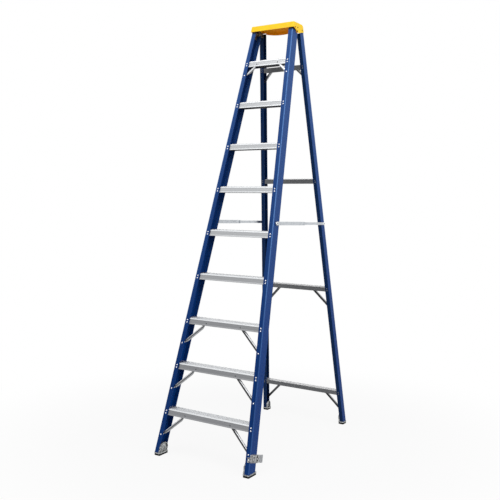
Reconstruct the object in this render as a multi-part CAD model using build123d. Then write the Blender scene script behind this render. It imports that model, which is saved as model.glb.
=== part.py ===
from build123d import *
import os
from math import atan, cos, degrees, hypot, radians, sin, sqrt, tan

# Fibreglass A-frame step ladder, standing open on the floor.
# Millimetres and degrees. +Z is up, -Y is the climbing side, +X is the climber's right.
# The origin is on the floor, in the middle of the footprint.

# Stance of the open ladder
front_lean = 15.53
rear_lean = 8.87

# Front rails: channels with their webs outwards, closer together at the top
front_half_width = 369.3
front_taper = 0.0690
front_web_depth = 75.0
front_flange = 32.0
front_wall = 4.0
front_outer_corner = 3.0
front_inner_corner = 2.0
front_rivet_inset = 17.0

# Steps, evenly spaced along the front rails
step_count = 9
first_step_along = 310.2
step_pitch = 305.0
tread_thickness = 2.6
apron_wall = 2.4
apron_recess = 1.4
apron_top_band = 8.0
apron_top_slope = 3.0
apron_bottom_band = 2.5
apron_bottom_slope = 6.0
front_apron = 41.0
rear_apron = 42.5
nosing_radius = 4.5
tread_rib_count = 8
tread_rib_width = 3.2
tread_rib_height = 1.5
tread_rib_margin = 7.0
step_end_gap = 0.5
step_rivet_drop = 15.0
step_rivet_gap = 17.0

# Knee braces under some steps: half-round bars with flattened ends
knee_steps = (1, 2, 3, 9)
short_knee_step = 9
knee_run = 166.0
knee_rise = 148.0
short_knee_run = 86.0
short_knee_rise = 80.0
knee_rivet_drop = 24.0
knee_round_radius = 9.5
knee_wall = 2.2
knee_side_depth = 6.0
knee_pad = 10.0
knee_pad_radius = 9.5
knee_joggle = 10.0
knee_scarf = 28.0

# Diagonals under some rear braces: flat straps with folded edges
strap_width = 17.0
strap_thickness = 2.2
strap_wall_depth = 10.0
strap_pad = 15.0
strap_joggle = 12.0

# Rivets
rivet_shank_radius = 2.4
rivet_head_radius = 4.6
rivet_head_height = 2.2
rivet_tail_radius = 3.8
rivet_tail_height = 1.8
hole_clearance = 0.05
drill_overrun = 0.5

# Hinge at the top of the rear rails
hinge_above_last_step = 254.0
hinge_behind_front = 118.0
hinge_plate_thickness = 3.0
hinge_plate_front = 10.0
hinge_plate_rear = 62.0
hinge_plate_drop = 64.0
hinge_lobe_radius = 15.0
hinge_arm_clearance = 2.0
hinge_bolt_radius = 4.0
hinge_bush_wall = 3.0
hinge_bush_flange = 3.6
hinge_bush_flange_radius = 10.0
hinge_play = 0.9

# Cap: a moulded shell over the tops of the rails
cap_rise = 42.0
cap_wall = 4.0
cap_front_gap = 1.0
cap_skirt = 39.5
cap_rear_skirt = 48.5
rear_skirt_belly = 16.0
cap_rear_reach = 21.5
cap_rear_round = 27.0
cap_front_round = 6.5
cap_edge_round = 5.0
cap_rail_gap = 6.0
cheek_gap = 1.2
cheek_lobe_drop = 26.0
cheek_lobe_front = 66.0
cheek_lobe_length = 20.0
cheek_rear_drop = 9.0
cheek_notch_length = 13.0
cheek_round = 9.0
rail_slot_gap = 2.5
cap_bolt_radius = 3.0
cap_bolt_places = ((20.0, -13.0), (55.0, -2.0), (56.0, -30.0))
bolt_head_radius = 5.5
bolt_head_height = 2.4
counterbore_radius = 6.3
counterbore_depth = 2.8
boss_radius = 9.0
nut_radius = 7.2
nut_height = 5.5
bolt_end = 2.0

# Rear rails and their braces
rear_taper = 0.0655
rear_web_depth = 47.0
rear_flange = 29.0
rear_wall = 3.5
rear_outer_corner = 2.5
rear_inner_corner = 1.5
rear_rivet_inset = 14.5
rear_brace_heights = (247.5, 1047.5, 1845.0, 2650.5)
rear_brace_height = 31.0
rear_brace_wall = 2.2
rear_brace_groove_width = 3.0
rear_brace_groove_depth = 0.9
rear_brace_groove_gap = 11.0
rear_brace_rib_count = 4
rear_brace_rib_height = 1.2
rear_brace_rivet_gap = 14.0
diagonal_braces = (1, 2, 4)
short_diagonal_brace = 4
diagonal_span = 152.0
short_diagonal_span = 76.0
stop_rivet_drop = 31.0

# Feet
pad_thickness = 12.0
pad_inset = 1.2
pad_groove_count = 4
pad_groove_width = 3.0
pad_groove_depth = 2.0
sole_thickness = 8.0
sole_round = 5.0
front_sole_lip = 1.8
rear_sole_lip = 1.5
front_heel_lip = 9.6
rear_heel_lip = 6.0
tongue_thickness = 3.0
tongue_side_gap = 0.5
front_tongue_height = 78.0
rear_tongue_height = 56.0
front_shoe_side = 44.0
rear_shoe_side = 36.0
tongue_rib_width = 4.0
tongue_rib_height = 30.0
tongue_rib_rise = 3.0
tongue_rib_share = 0.2
tongue_rim_width = 3.0
tongue_rim_rise = 6.5
front_shoe_rivet_height = 16.0
rear_shoe_rivet_height = 8.0
shoe_rivet_gap = 12.0
shoe_rivet_edge = 7.0

# Keeper for the folded rear frame, on the right front rail only
keeper_above_folded_foot = 11.5
keeper_height = 50.0
keeper_thickness = 2.5
keeper_lip_width = 18.0
keeper_lip_height = 30.0
keeper_lip_drop = 8.0
keeper_lip_rivet_inset = 11.0
keeper_overhang = 23.5
keeper_corner = 9.0
keeper_bolt_setback = 5.0
keeper_bolt_gap = 22.0
keeper_pin_depth = 40.0
keeper_pin_gap = 24.0
keeper_block_reach = 74.0
keeper_block_height = 48.0
keeper_groove_count = 4
keeper_groove_width = 4.0
keeper_groove_depth = 1.5
keeper_block_gap = 0.4
keeper_clearance = 0.9

# Spreaders: two arms a side, with a lap joint between them
spreader_step = 5
spreader_above_step = 64.0
spreader_front_depth = 30.0
spreader_fall = 10.0
spreader_standoff = 2.5
front_arm_length = 370.5
front_arm_height = 24.0
rear_arm_height = 18.0
arm_thickness = 3.0
arm_gap = 0.3
arm_bead_width = 7.0
arm_bead_height = 1.4
arm_bead_margin = 26.0
stud_radius = 5.0
stud_shoulder_radius = 8.0
stud_head_radius = 10.5
front_stud_head_height = 4.0
rear_stud_head_height = 2.6
stud_head_share = 0.7
stud_dimple_radius = 4.4
stud_dimple_depth = 1.8
stud_tail_radius = 7.5
stud_tail_height = 2.4
lap_rivet_radius = 4.0
lap_head_radius = 8.0
lap_head_height = 2.0

# Values worked out from the sizes above
front_turn = radians(front_lean)
rear_turn = radians(rear_lean)
front_taper_angle = degrees(atan(front_taper))
rear_taper_angle = degrees(atan(rear_taper))
reach = 2 * front_half_width
apron_thickness = apron_wall + apron_recess
last_step_along = first_step_along + (step_count - 1) * step_pitch
hinge_along = last_step_along + hinge_above_last_step
hinge_y = hinge_along * sin(front_turn) + hinge_behind_front * cos(front_turn)
hinge_z = hinge_along * cos(front_turn) - hinge_behind_front * sin(front_turn)
rear_length = hinge_z / cos(rear_turn)
sole_top = pad_thickness + sole_thickness
cap_top = hinge_z + cap_rise
cap_underside = cap_top - cap_wall
front_rail_top = cap_underside - cap_rail_gap
skirt_bottom = cap_top - cap_skirt
rear_skirt_bottom = cap_top - cap_rear_skirt
wall_across = front_wall / cos(atan(front_taper))
plate_across = hinge_plate_thickness / cos(atan(front_taper))
bush_radius = hinge_bolt_radius + hinge_bush_wall
crown_radius = rear_web_depth / 2
arm_room = hinge_lobe_radius + hinge_arm_clearance
crown_rise = sqrt(crown_radius**2 - (cap_rear_reach - cap_wall) ** 2)
into_depth = Rot(-90, 0, 0)
out_of_depth = Rot(90, 0, 0)
into_web = Rot(0, -90, 0)


def front_outer(along):
    """Half-width over the front webs at a distance up the front rails."""
    return front_half_width - front_taper * along


hinge_plate_face = front_outer(hinge_along) - wall_across
rear_half_at_hinge = hinge_plate_face + hinge_play + hinge_bush_flange + rear_wall


def rear_outer(drop):
    """Half-width over the rear webs at a distance down from the hinge."""
    return rear_half_at_hinge + rear_taper * drop


# Frames: the upright front frame has Y behind the rails' front and Z along the rails,
# the upright rear frame has its origin at the hinge, and each web frame has X outwards
front_stance = Rot(-front_lean, 0, 0)
rear_stance = Pos(0, hinge_y, hinge_z) * Rot(rear_lean, 0, 0)
front_web = Pos(front_half_width, 0, 0) * Rot(0, -front_taper_angle, 0)
rear_web = Pos(rear_half_at_hinge, 0, 0) * Rot(0, -rear_taper_angle, 0)


def front_point(along, depth):
    """Y and Z of a point of the front frame on the open ladder."""
    y = along * sin(front_turn) + depth * cos(front_turn)
    z = along * cos(front_turn) - depth * sin(front_turn)
    return y, z


def rear_y(height):
    """Y of the rear rails' centre line at a height above the floor."""
    return hinge_y + (hinge_z - height) * tan(rear_turn)


def rear_drop(height):
    """Distance down the rear rails from the hinge to a height above the floor."""
    return (hinge_z - height) / cos(rear_turn)


# Footprint, from which the middle of the ladder is worked out
front_sole_start = sole_top * tan(front_turn) - front_sole_lip
front_sole_end = sole_top * tan(front_turn) + front_web_depth / cos(front_turn) + front_heel_lip
rear_half_depth = rear_web_depth / 2 / cos(rear_turn)
rear_sole_start = rear_y(sole_top) - rear_half_depth - rear_sole_lip
rear_sole_end = rear_y(sole_top) + rear_half_depth + rear_heel_lip
footprint_middle = (front_sole_start + rear_sole_end) / 2
onto_floor = Pos(0, -footprint_middle, 0)


def web_plane(web, offset):
    """Plane parallel to a right-hand web, at an offset outwards from its outer face."""
    return Plane(web * Pos(offset, 0, 0) * Rot(0, 90, 0))


def other_side(shape):
    """The left-hand twin of a right-hand piece."""
    return mirror(shape, about=Plane.YZ)


def slab(outline, web, inner, outer):
    """Plate with a side outline, between two planes parallel to a right-hand web."""
    plate = extrude(Plane.YZ * outline, amount=reach, both=True)
    plate = split(plate, bisect_by=web_plane(web, inner), keep=Keep.TOP)
    return split(plate, bisect_by=web_plane(web, outer), keep=Keep.BOTTOM)


def between_webs(shape, web, inset):
    """Trim a crosswise piece at both ends, parallel to the webs."""
    side = web_plane(web, -inset)
    shape = split(shape, bisect_by=side, keep=Keep.BOTTOM)
    return other_side(split(other_side(shape), bisect_by=side, keep=Keep.BOTTOM))


def block(low, high):
    """Box between two corners."""
    size = [high[axis] - low[axis] for axis in range(3)]
    return Pos(*low) * Box(*size, align=(Align.MIN, Align.MIN, Align.MIN))


def rod(radius, length):
    """Round bar from the origin along Z."""
    return Cylinder(radius, length, align=(Align.CENTER, Align.CENTER, Align.MIN))


def cross_rod(radius, x_start, x_end, y, z):
    """Round bar along X."""
    return Pos(x_start, y, z) * Rot(0, 90, 0) * rod(radius, x_end - x_start)


def rounded(sketch, corner, radius):
    """Round the corner of a sketch that lies nearest to a point."""
    return fillet(sketch.vertices().sort_by_distance((*corner, 0))[0], radius)


def rivet(grip):
    """Rivet with its head on Z = 0, its shank along Z and its tail beyond the grip."""
    ball = (rivet_head_radius**2 + rivet_head_height**2) / (2 * rivet_head_height)
    half_out = rivet_head_radius / 2
    half_up = sqrt(ball**2 - half_out**2) - (ball - rivet_head_height)
    dome = ThreePointArc((0, 0, -rivet_head_height), (half_out, 0, -half_up), (rivet_head_radius, 0, 0))
    body = Polyline(
        (rivet_head_radius, 0, 0),
        (rivet_shank_radius, 0, 0),
        (rivet_shank_radius, 0, grip),
        (rivet_tail_radius, 0, grip),
        (rivet_tail_radius, 0, grip + rivet_tail_height),
        (0, 0, grip + rivet_tail_height),
        (0, 0, -rivet_head_height),
    )
    return revolve(make_face([dome, body]), axis=Axis.Z)


def drill(seat, grip, radius=rivet_shank_radius):
    """Hole for a fastener at its seat."""
    bit = rod(radius + hole_clearance, grip + 2 * drill_overrun)
    return seat * Pos(0, 0, -drill_overrun) * bit


def channel(depth, flange, wall, outer_corner, inner_corner):
    """Section of a rail: its web's outer face is on X = 0 and its front on Y = 0."""
    outside = Pos(-flange / 2, depth / 2) * Rectangle(flange, depth)
    hollow = Pos(-(flange + wall) / 2, depth / 2) * Rectangle(flange - wall, depth - 2 * wall)
    section = outside - hollow
    section = fillet(section.vertices().group_by(Axis.X)[1], inner_corner)
    return fillet(section.vertices().group_by(Axis.X)[-1], outer_corner)


def save(node, *solids):
    """Write one node, moved so that the footprint's middle is the origin."""
    placed = [solid for shape in solids for solid in (onto_floor * shape).solids()]
    export_step(Compound(children=placed), f"parts/{node}.step")


# Steps
step_front = front_wall
step_rear = front_web_depth - front_wall
step_front_grip = front_wall + apron_thickness
step_rear_grip = front_wall + apron_wall


def step_along(number):
    """Distance up the front rails to the front edge of a tread."""
    return first_step_along + (number - 1) * step_pitch


def tread_rise(depth):
    """How far the tread has climbed along the rails at a depth, so that it is level when open."""
    return (depth - step_front) * tan(front_turn)


def step_section():
    """Side outline of a step: a ribbed tread, a front apron with a shallow recess and a rear apron."""
    first = step_front + tread_rib_margin
    spacing = (step_rear - step_front - 2 * tread_rib_margin) / (tread_rib_count - 1)
    points = [(step_front, 0)]
    for number in range(tread_rib_count):
        near = first + number * spacing - tread_rib_width / 2
        far = near + tread_rib_width
        points.append((near, tread_rise(near)))
        points.append((near, tread_rise(near) + tread_rib_height))
        points.append((far, tread_rise(far) + tread_rib_height))
        points.append((far, tread_rise(far)))
    under = tread_thickness / cos(front_turn)
    front_inside = step_front + apron_thickness
    rear_inside = step_rear - apron_wall
    recess = step_front + apron_recess
    recess_low = apron_bottom_band + apron_bottom_slope - front_apron
    points.append((step_rear, tread_rise(step_rear)))
    points.append((step_rear, tread_rise(step_rear) - rear_apron))
    points.append((rear_inside, tread_rise(step_rear) - rear_apron))
    points.append((rear_inside, tread_rise(rear_inside) - under))
    points.append((front_inside, tread_rise(front_inside) - under))
    points.append((front_inside, -front_apron))
    points.append((step_front, -front_apron))
    points.append((step_front, apron_bottom_band - front_apron))
    points.append((recess, recess_low))
    points.append((recess, -apron_top_band - apron_top_slope))
    points.append((step_front, -apron_top_band))
    return rounded(Polygon(*points, align=None), (step_front, 0), nosing_radius)


def step_rivet_seats(number):
    """Seats and grips of the right-hand rivets of a step, two on each flange."""
    seats = []
    for drop in (step_rivet_drop, step_rivet_drop + step_rivet_gap):
        along = step_along(number) - drop
        across = front_outer(along) - front_rivet_inset
        seats.append((Pos(across, 0, along) * into_depth, step_front_grip))
        along = along + tread_rise(step_rear)
        across = front_outer(along) - front_rivet_inset
        seats.append((Pos(across, front_web_depth, along) * out_of_depth, step_rear_grip))
    return seats


# Knee braces and diagonals
def knee_bar(run, rise, offset):
    """Half-round bar along X from its lower rivet, open at the back, with a flat tab at each end.

    Its lower tab lies on Z = 0, and its round and its upper tab begin at the offset."""
    length = hypot(run, rise)
    start = knee_pad + knee_joggle
    finish = length - start
    neck = sqrt(knee_round_radius**2 - (knee_round_radius - knee_wall) ** 2)
    profile = Polygon(
        (-knee_pad_radius, 0),
        (knee_pad, 0),
        (start, offset),
        (length + knee_pad_radius, offset),
        (length + knee_pad_radius, offset + knee_wall),
        (start, offset + knee_wall),
        (knee_pad, knee_wall),
        (-knee_pad_radius, knee_wall),
        align=None,
    )
    tabs = extrude(Plane.XZ * profile, amount=knee_pad_radius, both=True)
    tab = Polygon((0, -knee_pad_radius), (start, -neck), (start, neck), (0, knee_pad_radius), align=None)
    tab = tab + Circle(knee_pad_radius)
    outline = tab + Pos(length, 0) * Rot(0, 0, 180) * tab
    tabs = tabs & extrude(outline, amount=offset + knee_wall)

    middle = offset + knee_round_radius
    back = middle + knee_side_depth
    inner = knee_round_radius - knee_wall
    outside = Circle(knee_round_radius) + Pos(0, knee_side_depth / 2) * Rectangle(
        2 * knee_round_radius, knee_side_depth
    )
    hollow = Circle(inner) + Pos(0, knee_side_depth) * Rectangle(2 * inner, 2 * knee_side_depth)
    along_bar = Plane(origin=(start, 0, middle), x_dir=(0, 1, 0), z_dir=(1, 0, 0))
    bar = extrude(along_bar * (outside - hollow), amount=finish - start)
    bar = split(bar, bisect_by=Plane.XY.offset(back), keep=Keep.BOTTOM)
    for place, turn in ((start, 1), (finish, -1)):
        scarf = Polygon(
            (place, offset + knee_wall),
            (place + turn * knee_scarf, back),
            (place, back),
            align=None,
        )
        bar = bar - extrude(Plane.XZ * scarf, amount=knee_round_radius, both=True)
    bar = bar + tabs
    for place in (0, length):
        bar = bar - Pos(place, 0, 0) * Cylinder(rivet_shank_radius + hole_clearance, 2 * knee_round_radius)
    return bar


def strap(run, rise, offset):
    """Pressed strap along X from its lower rivet, with flat ends and folded edges.

    Its lower pad lies on Z = 0, and its upper end lies at the offset."""
    length = hypot(run, rise)
    end = strap_width / 2
    bend = strap_pad + strap_joggle
    profile = Polygon(
        (-end, 0),
        (strap_pad, 0),
        (bend, offset),
        (length + end, offset),
        (length + end, offset + strap_thickness),
        (bend, offset + strap_thickness),
        (strap_pad, strap_thickness),
        (-end, strap_thickness),
        align=None,
    )
    bar = extrude(Plane.XZ * profile, amount=end, both=True)
    outline = Pos(length / 2, 0) * SlotCenterToCenter(length, strap_width)
    bar = bar & extrude(outline, amount=offset + strap_thickness)
    for side in (-1, 1):
        edge = side * (end - strap_thickness / 2)
        fold = block(
            (bend, edge - strap_thickness / 2, offset),
            (length - strap_pad, edge + strap_thickness / 2, offset + strap_wall_depth),
        )
        bar = bar + fold
    for place in (0, length):
        bar = bar - Pos(place, 0, 0) * Cylinder(rivet_shank_radius + hole_clearance, strap_width)
    return bar


def strap_place(lower, upper, depth, towards):
    """Location of a strap from its lower to its upper rivet, with its thickness along Y."""
    run = (upper[0] - lower[0], 0, upper[1] - lower[1])
    return Location(Plane(origin=(lower[0], depth, lower[1]), x_dir=run, z_dir=(0, towards, 0)))


def knee_rivets(number):
    """Lower and upper rivet of the right-hand knee brace under a step."""
    run = short_knee_run if number == short_knee_step else knee_run
    rise = short_knee_rise if number == short_knee_step else knee_rise
    upper_along = step_along(number) - knee_rivet_drop
    lower_along = upper_along - rise
    lower = (front_outer(lower_along) - front_rivet_inset, lower_along)
    return lower, (lower[0] - run, upper_along)


def knee_brace(number):
    """Right-hand knee brace, behind the front flange and behind the step's apron."""
    lower, upper = knee_rivets(number)
    bar = knee_bar(upper[0] - lower[0], upper[1] - lower[1], apron_thickness)
    return strap_place(lower, upper, front_wall, 1) * bar


def knee_rivet_seats(number):
    """Seats and grips of the two rivets of a right-hand knee brace."""
    lower, upper = knee_rivets(number)
    lower_seat = Pos(lower[0], 0, lower[1]) * into_depth
    upper_seat = Pos(upper[0], step_front + apron_recess, upper[1]) * into_depth
    return [(lower_seat, front_wall + knee_wall), (upper_seat, apron_wall + knee_wall)]


def step(number):
    """One step between the front rails, drilled for its rivets."""
    outline = Pos(0, step_along(number)) * step_section()
    tread = extrude(Plane.YZ * outline, amount=reach / 2, both=True)
    tread = between_webs(tread, front_web, front_wall + front_inner_corner + step_end_gap)
    drills = [drill(*seat) for seat in step_rivet_seats(number)]
    if number in knee_steps:
        drills.append(drill(*knee_rivet_seats(number)[1]))
    return tread - drills - [other_side(bit) for bit in drills]


# Keeper on the right front rail
folded_foot = hinge_along - rear_length
keeper_along = folded_foot + keeper_above_folded_foot
keeper_room = front_outer(keeper_along) - rear_outer(hinge_along - keeper_along)
keeper_block_thickness = keeper_room - rear_sole_lip - keeper_clearance
keeper_plate_rear = front_web_depth + keeper_overhang
keeper_bolt_depth = front_web_depth + keeper_bolt_setback


def keeper_rivet_seats():
    """Seat and grip of the rivet through the keeper's lip."""
    along = keeper_along - keeper_lip_drop
    seat = front_web * Pos(-keeper_lip_rivet_inset, -keeper_thickness, along) * into_depth
    return [(seat, keeper_thickness + front_wall)]


def keeper_bolt_seats():
    """Seats and grips of the two bolts through the block."""
    seats = []
    for side in (-1, 1):
        along = keeper_along + side * keeper_bolt_gap / 2
        seat = front_web * Pos(keeper_thickness, keeper_bolt_depth, along) * into_web
        seats.append((seat, keeper_thickness + keeper_block_thickness))
    return seats


def keeper_pin_seats():
    """Seats and grips of the two flush pins through the web."""
    seats = []
    for side in (-1, 1):
        along = keeper_along + side * keeper_pin_gap / 2
        seat = front_web * Pos(keeper_thickness, keeper_pin_depth, along) * into_web
        seats.append((seat, keeper_thickness + front_wall))
    return seats


def keeper():
    """Pressed plate on the web, with a lip round the front flange."""
    depth = keeper_plate_rear + keeper_thickness
    plate = Pos(depth / 2 - keeper_thickness, keeper_along) * Rectangle(depth, keeper_height)
    plate = fillet(plate.vertices(), keeper_corner)
    body = front_web * extrude(Plane.YZ * plate, amount=keeper_thickness)
    lip_middle = keeper_along - keeper_lip_drop
    lip = front_web * block(
        (-keeper_lip_width, -keeper_thickness, lip_middle - keeper_lip_height / 2),
        (keeper_thickness, 0, lip_middle + keeper_lip_height / 2),
    )
    drills = [drill(*seat) for seat in keeper_rivet_seats() + keeper_pin_seats()]
    drills += [drill(*seat, cap_bolt_radius) for seat in keeper_bolt_seats()]
    return (body + lip) - drills


def keeper_block():
    """Grey block behind the rail that guides the folded rear rail, grooved where it stands clear."""
    near = front_web_depth + keeper_block_gap
    far = near + keeper_block_reach
    body = block(
        (-keeper_block_thickness, near, keeper_along - keeper_block_height / 2),
        (0, far, keeper_along + keeper_block_height / 2),
    )
    body = fillet(body.edges().filter_by(Axis.X).group_by(Axis.Y)[-1], keeper_corner / 2)
    spacing = (far - keeper_plate_rear) / (keeper_groove_count + 1)
    for number in range(keeper_groove_count):
        middle = keeper_plate_rear + (number + 1) * spacing
        groove = block(
            (-keeper_groove_depth, middle - keeper_groove_width / 2, keeper_along - keeper_block_height),
            (keeper_groove_depth, middle + keeper_groove_width / 2, keeper_along + keeper_block_height),
        )
        body = body - groove
    return front_web * body - [drill(*seat, cap_bolt_radius) for seat in keeper_bolt_seats()]


# Feet
def sole(outer, inner, start, end):
    """Sole plate of a right-hand shoe."""
    plate = block((inner, start, pad_thickness), (outer, end, sole_top))
    return fillet(plate.edges().filter_by(Axis.Z), sole_round)


def pad(outer, inner, start, end):
    """Rubber pad under a right-hand sole, grooved on its underside."""
    body = block(
        (inner + pad_inset, start + pad_inset, 0),
        (outer - pad_inset, end - pad_inset, pad_thickness),
    )
    body = fillet(body.edges().filter_by(Axis.Z), sole_round - pad_inset)
    spacing = (end - start) / (pad_groove_count + 1)
    for number in range(pad_groove_count):
        middle = start + (number + 1) * spacing
        groove = block(
            (inner, middle - pad_groove_width / 2, -drill_overrun),
            (outer, middle + pad_groove_width / 2, pad_groove_depth),
        )
        body = body - groove
    return body


def tongue(depth, flange, wall, inner_corner, low, height, side_height):
    """Upright part of a right-hand shoe in its rail's web frame, above a low level.

    Its plate closes the mouth of the channel and has a raised rim, and its sides lie inside the flanges."""
    middle = depth / 2
    width = depth - 2 * tongue_side_gap
    top = low + height - width / 2
    outline = Pos(middle, (low + top) / 2) * Rectangle(width, top - low)
    outline = outline + Pos(middle, top) * Circle(width / 2)
    face = -flange - tongue_thickness
    upright = Pos(face, 0, 0) * extrude(Plane.YZ * outline, amount=tongue_thickness)
    inset = Pos(middle, (low + top) / 2) * Rectangle(width - 2 * tongue_rim_width, top - low)
    inset = inset + Pos(middle, top) * Circle(width / 2 - tongue_rim_width)
    rim = extrude(Plane.YZ * (outline - inset), amount=tongue_rim_rise)
    upright = upright + Pos(face - tongue_rim_rise, 0, 0) * rim
    inside = -wall - inner_corner
    for start in (wall, depth - wall - tongue_thickness):
        side = block((-flange, start, low), (inside, start + tongue_thickness, low + side_height))
        upright = upright + side
    for side in (-1, 1):
        edge = middle + side * width * tongue_rib_share - tongue_rib_width / 2
        rib = Polygon(
            (0, low),
            (0, low + tongue_rib_height + 2 * tongue_rib_rise),
            (-tongue_rib_rise, low + tongue_rib_height),
            (-tongue_rib_rise, low),
            align=None,
        )
        rib = Pos(face, edge + tongue_rib_width, 0) * extrude(Plane.XZ * rib, amount=tongue_rib_width)
        upright = upright + rib
    return upright


def shoe_seats(web, depth, flange, level, offset):
    """Seats of the two rivets that hold a right-hand shoe in its rail's rear flange."""
    across = shoe_rivet_edge - flange
    levels = (level, level + shoe_rivet_gap)
    return [web * Pos(across, offset + depth, height) * out_of_depth for height in levels]


front_foot_along = sole_top / cos(front_turn)
front_sole_outer = front_outer(front_foot_along) + front_sole_lip
tongue_reach = tongue_thickness + tongue_rim_rise
front_sole_inner = front_outer(front_foot_along) - front_flange - tongue_reach - front_sole_lip
front_sole_sides = (front_sole_outer, front_sole_inner, front_sole_start, front_sole_end)
rear_foot_drop = rear_drop(sole_top)
rear_sole_outer = rear_outer(rear_foot_drop) + rear_sole_lip
rear_sole_inner = rear_outer(rear_foot_drop) - rear_flange - tongue_reach - rear_sole_lip
rear_sole_sides = (rear_sole_outer, rear_sole_inner, rear_sole_start, rear_sole_end)
front_shoe_level = front_foot_along + front_web_depth * tan(front_turn) + front_shoe_rivet_height
rear_shoe_level = -rear_foot_drop + rear_web_depth * tan(rear_turn) + rear_shoe_rivet_height
front_shoe_seats = shoe_seats(front_web, front_web_depth, front_flange, front_shoe_level, 0)
rear_shoe_seats = shoe_seats(
    rear_web, rear_web_depth, rear_flange, rear_shoe_level, -rear_web_depth / 2
)
front_shoe_grip = front_wall + tongue_thickness
rear_shoe_grip = rear_wall + tongue_thickness


def front_shoe():
    """Right-hand front shoe."""
    low = front_foot_along - front_sole_lip
    upright = tongue(
        front_web_depth, front_flange, front_wall, front_inner_corner,
        low, front_tongue_height, front_shoe_side + front_web_depth * tan(front_turn),
    )
    upright = front_web * upright - [drill(seat, front_shoe_grip) for seat in front_shoe_seats]
    upright = split(front_stance * upright, bisect_by=Plane.XY.offset(sole_top), keep=Keep.TOP)
    return sole(*front_sole_sides) + upright


def rear_shoe():
    """Right-hand rear shoe."""
    low = -rear_foot_drop - rear_web_depth * tan(rear_turn)
    upright = tongue(
        rear_web_depth, rear_flange, rear_wall, rear_inner_corner,
        low, rear_tongue_height, rear_shoe_side + rear_web_depth * tan(rear_turn),
    )
    upright = rear_web * Pos(0, -rear_web_depth / 2, 0) * upright
    upright = upright - [drill(seat, rear_shoe_grip) for seat in rear_shoe_seats]
    upright = split(rear_stance * upright, bisect_by=Plane.XY.offset(sole_top), keep=Keep.TOP)
    return sole(*rear_sole_sides) + upright


# Hinge and cap
plate_inside = -front_wall - hinge_plate_thickness
cheek_inner = rear_half_at_hinge + cheek_gap - front_outer(hinge_along)
cheek_outer = cheek_inner + cap_wall
cap_bolt_grip = cheek_outer - counterbore_depth - plate_inside
world_front_web = front_stance * front_web


def cap_bolt_seats():
    """Seats of the right-hand cap bolts in their counterbores, square to the web."""
    seats = []
    for depth, rise in cap_bolt_places:
        along = hinge_along + rise
        seats.append(front_web * Pos(cheek_outer - counterbore_depth, depth, along) * into_web)
    return seats


def bolt(radius, grip, tail):
    """Bolt with its head's seat on Z = 0 and its shank along Z."""
    head = Pos(0, 0, -bolt_head_height) * rod(bolt_head_radius, bolt_head_height)
    head = fillet(head.edges().group_by(Axis.Z)[0], bolt_head_height / 2)
    return head + rod(radius, grip + tail)


def nut(radius):
    """Hexagon nut from Z = 0."""
    body = extrude(RegularPolygon(nut_radius, 6), amount=nut_height)
    return body - rod(radius + hole_clearance, nut_height)


def hinge_plate():
    """Right-hand hinge plate, inside the front web and reaching back to the hinge."""
    low = hinge_along - hinge_plate_drop
    high = hinge_along + hinge_lobe_radius
    body_width = hinge_plate_rear - hinge_plate_front
    body_height = high - low + hinge_lobe_radius
    body = Pos(hinge_plate_front + body_width / 2, low + body_height / 2) * Rectangle(
        body_width, body_height
    )
    arm_length = hinge_behind_front - hinge_plate_front
    arm = Pos(hinge_plate_front + arm_length / 2, hinge_along) * Rectangle(
        arm_length, 2 * hinge_lobe_radius
    )
    outline = body + arm + Pos(hinge_behind_front, hinge_along) * Circle(hinge_lobe_radius)
    plate = slab(outline, front_web, plate_inside, -front_wall)
    plate = plate - [drill(seat, cap_bolt_grip, cap_bolt_radius) for seat in cap_bolt_seats()]
    plate = plate - cross_rod(
        hinge_bolt_radius + hole_clearance, 0, reach, hinge_behind_front, hinge_along
    )
    plate = front_stance * plate
    return split(plate, bisect_by=Plane.XY.offset(front_rail_top), keep=Keep.BOTTOM)


# The hinge bolt's seat in the cheek, the hinge nut's seat on the plate
hinge_seat = front_outer(hinge_along) + cheek_outer - counterbore_depth
hinge_nut_seat = hinge_plate_face - plate_across - front_taper * nut_radius
hinge_bolt_place = Pos(hinge_seat, hinge_y, hinge_z) * into_web
hinge_nut_place = Pos(hinge_nut_seat, hinge_y, hinge_z) * into_web


def skirt_y(height):
    """Y of the front skirt's outer face at a height."""
    return height * tan(front_turn) - (cap_front_gap + cap_wall) / cos(front_turn)


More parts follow.
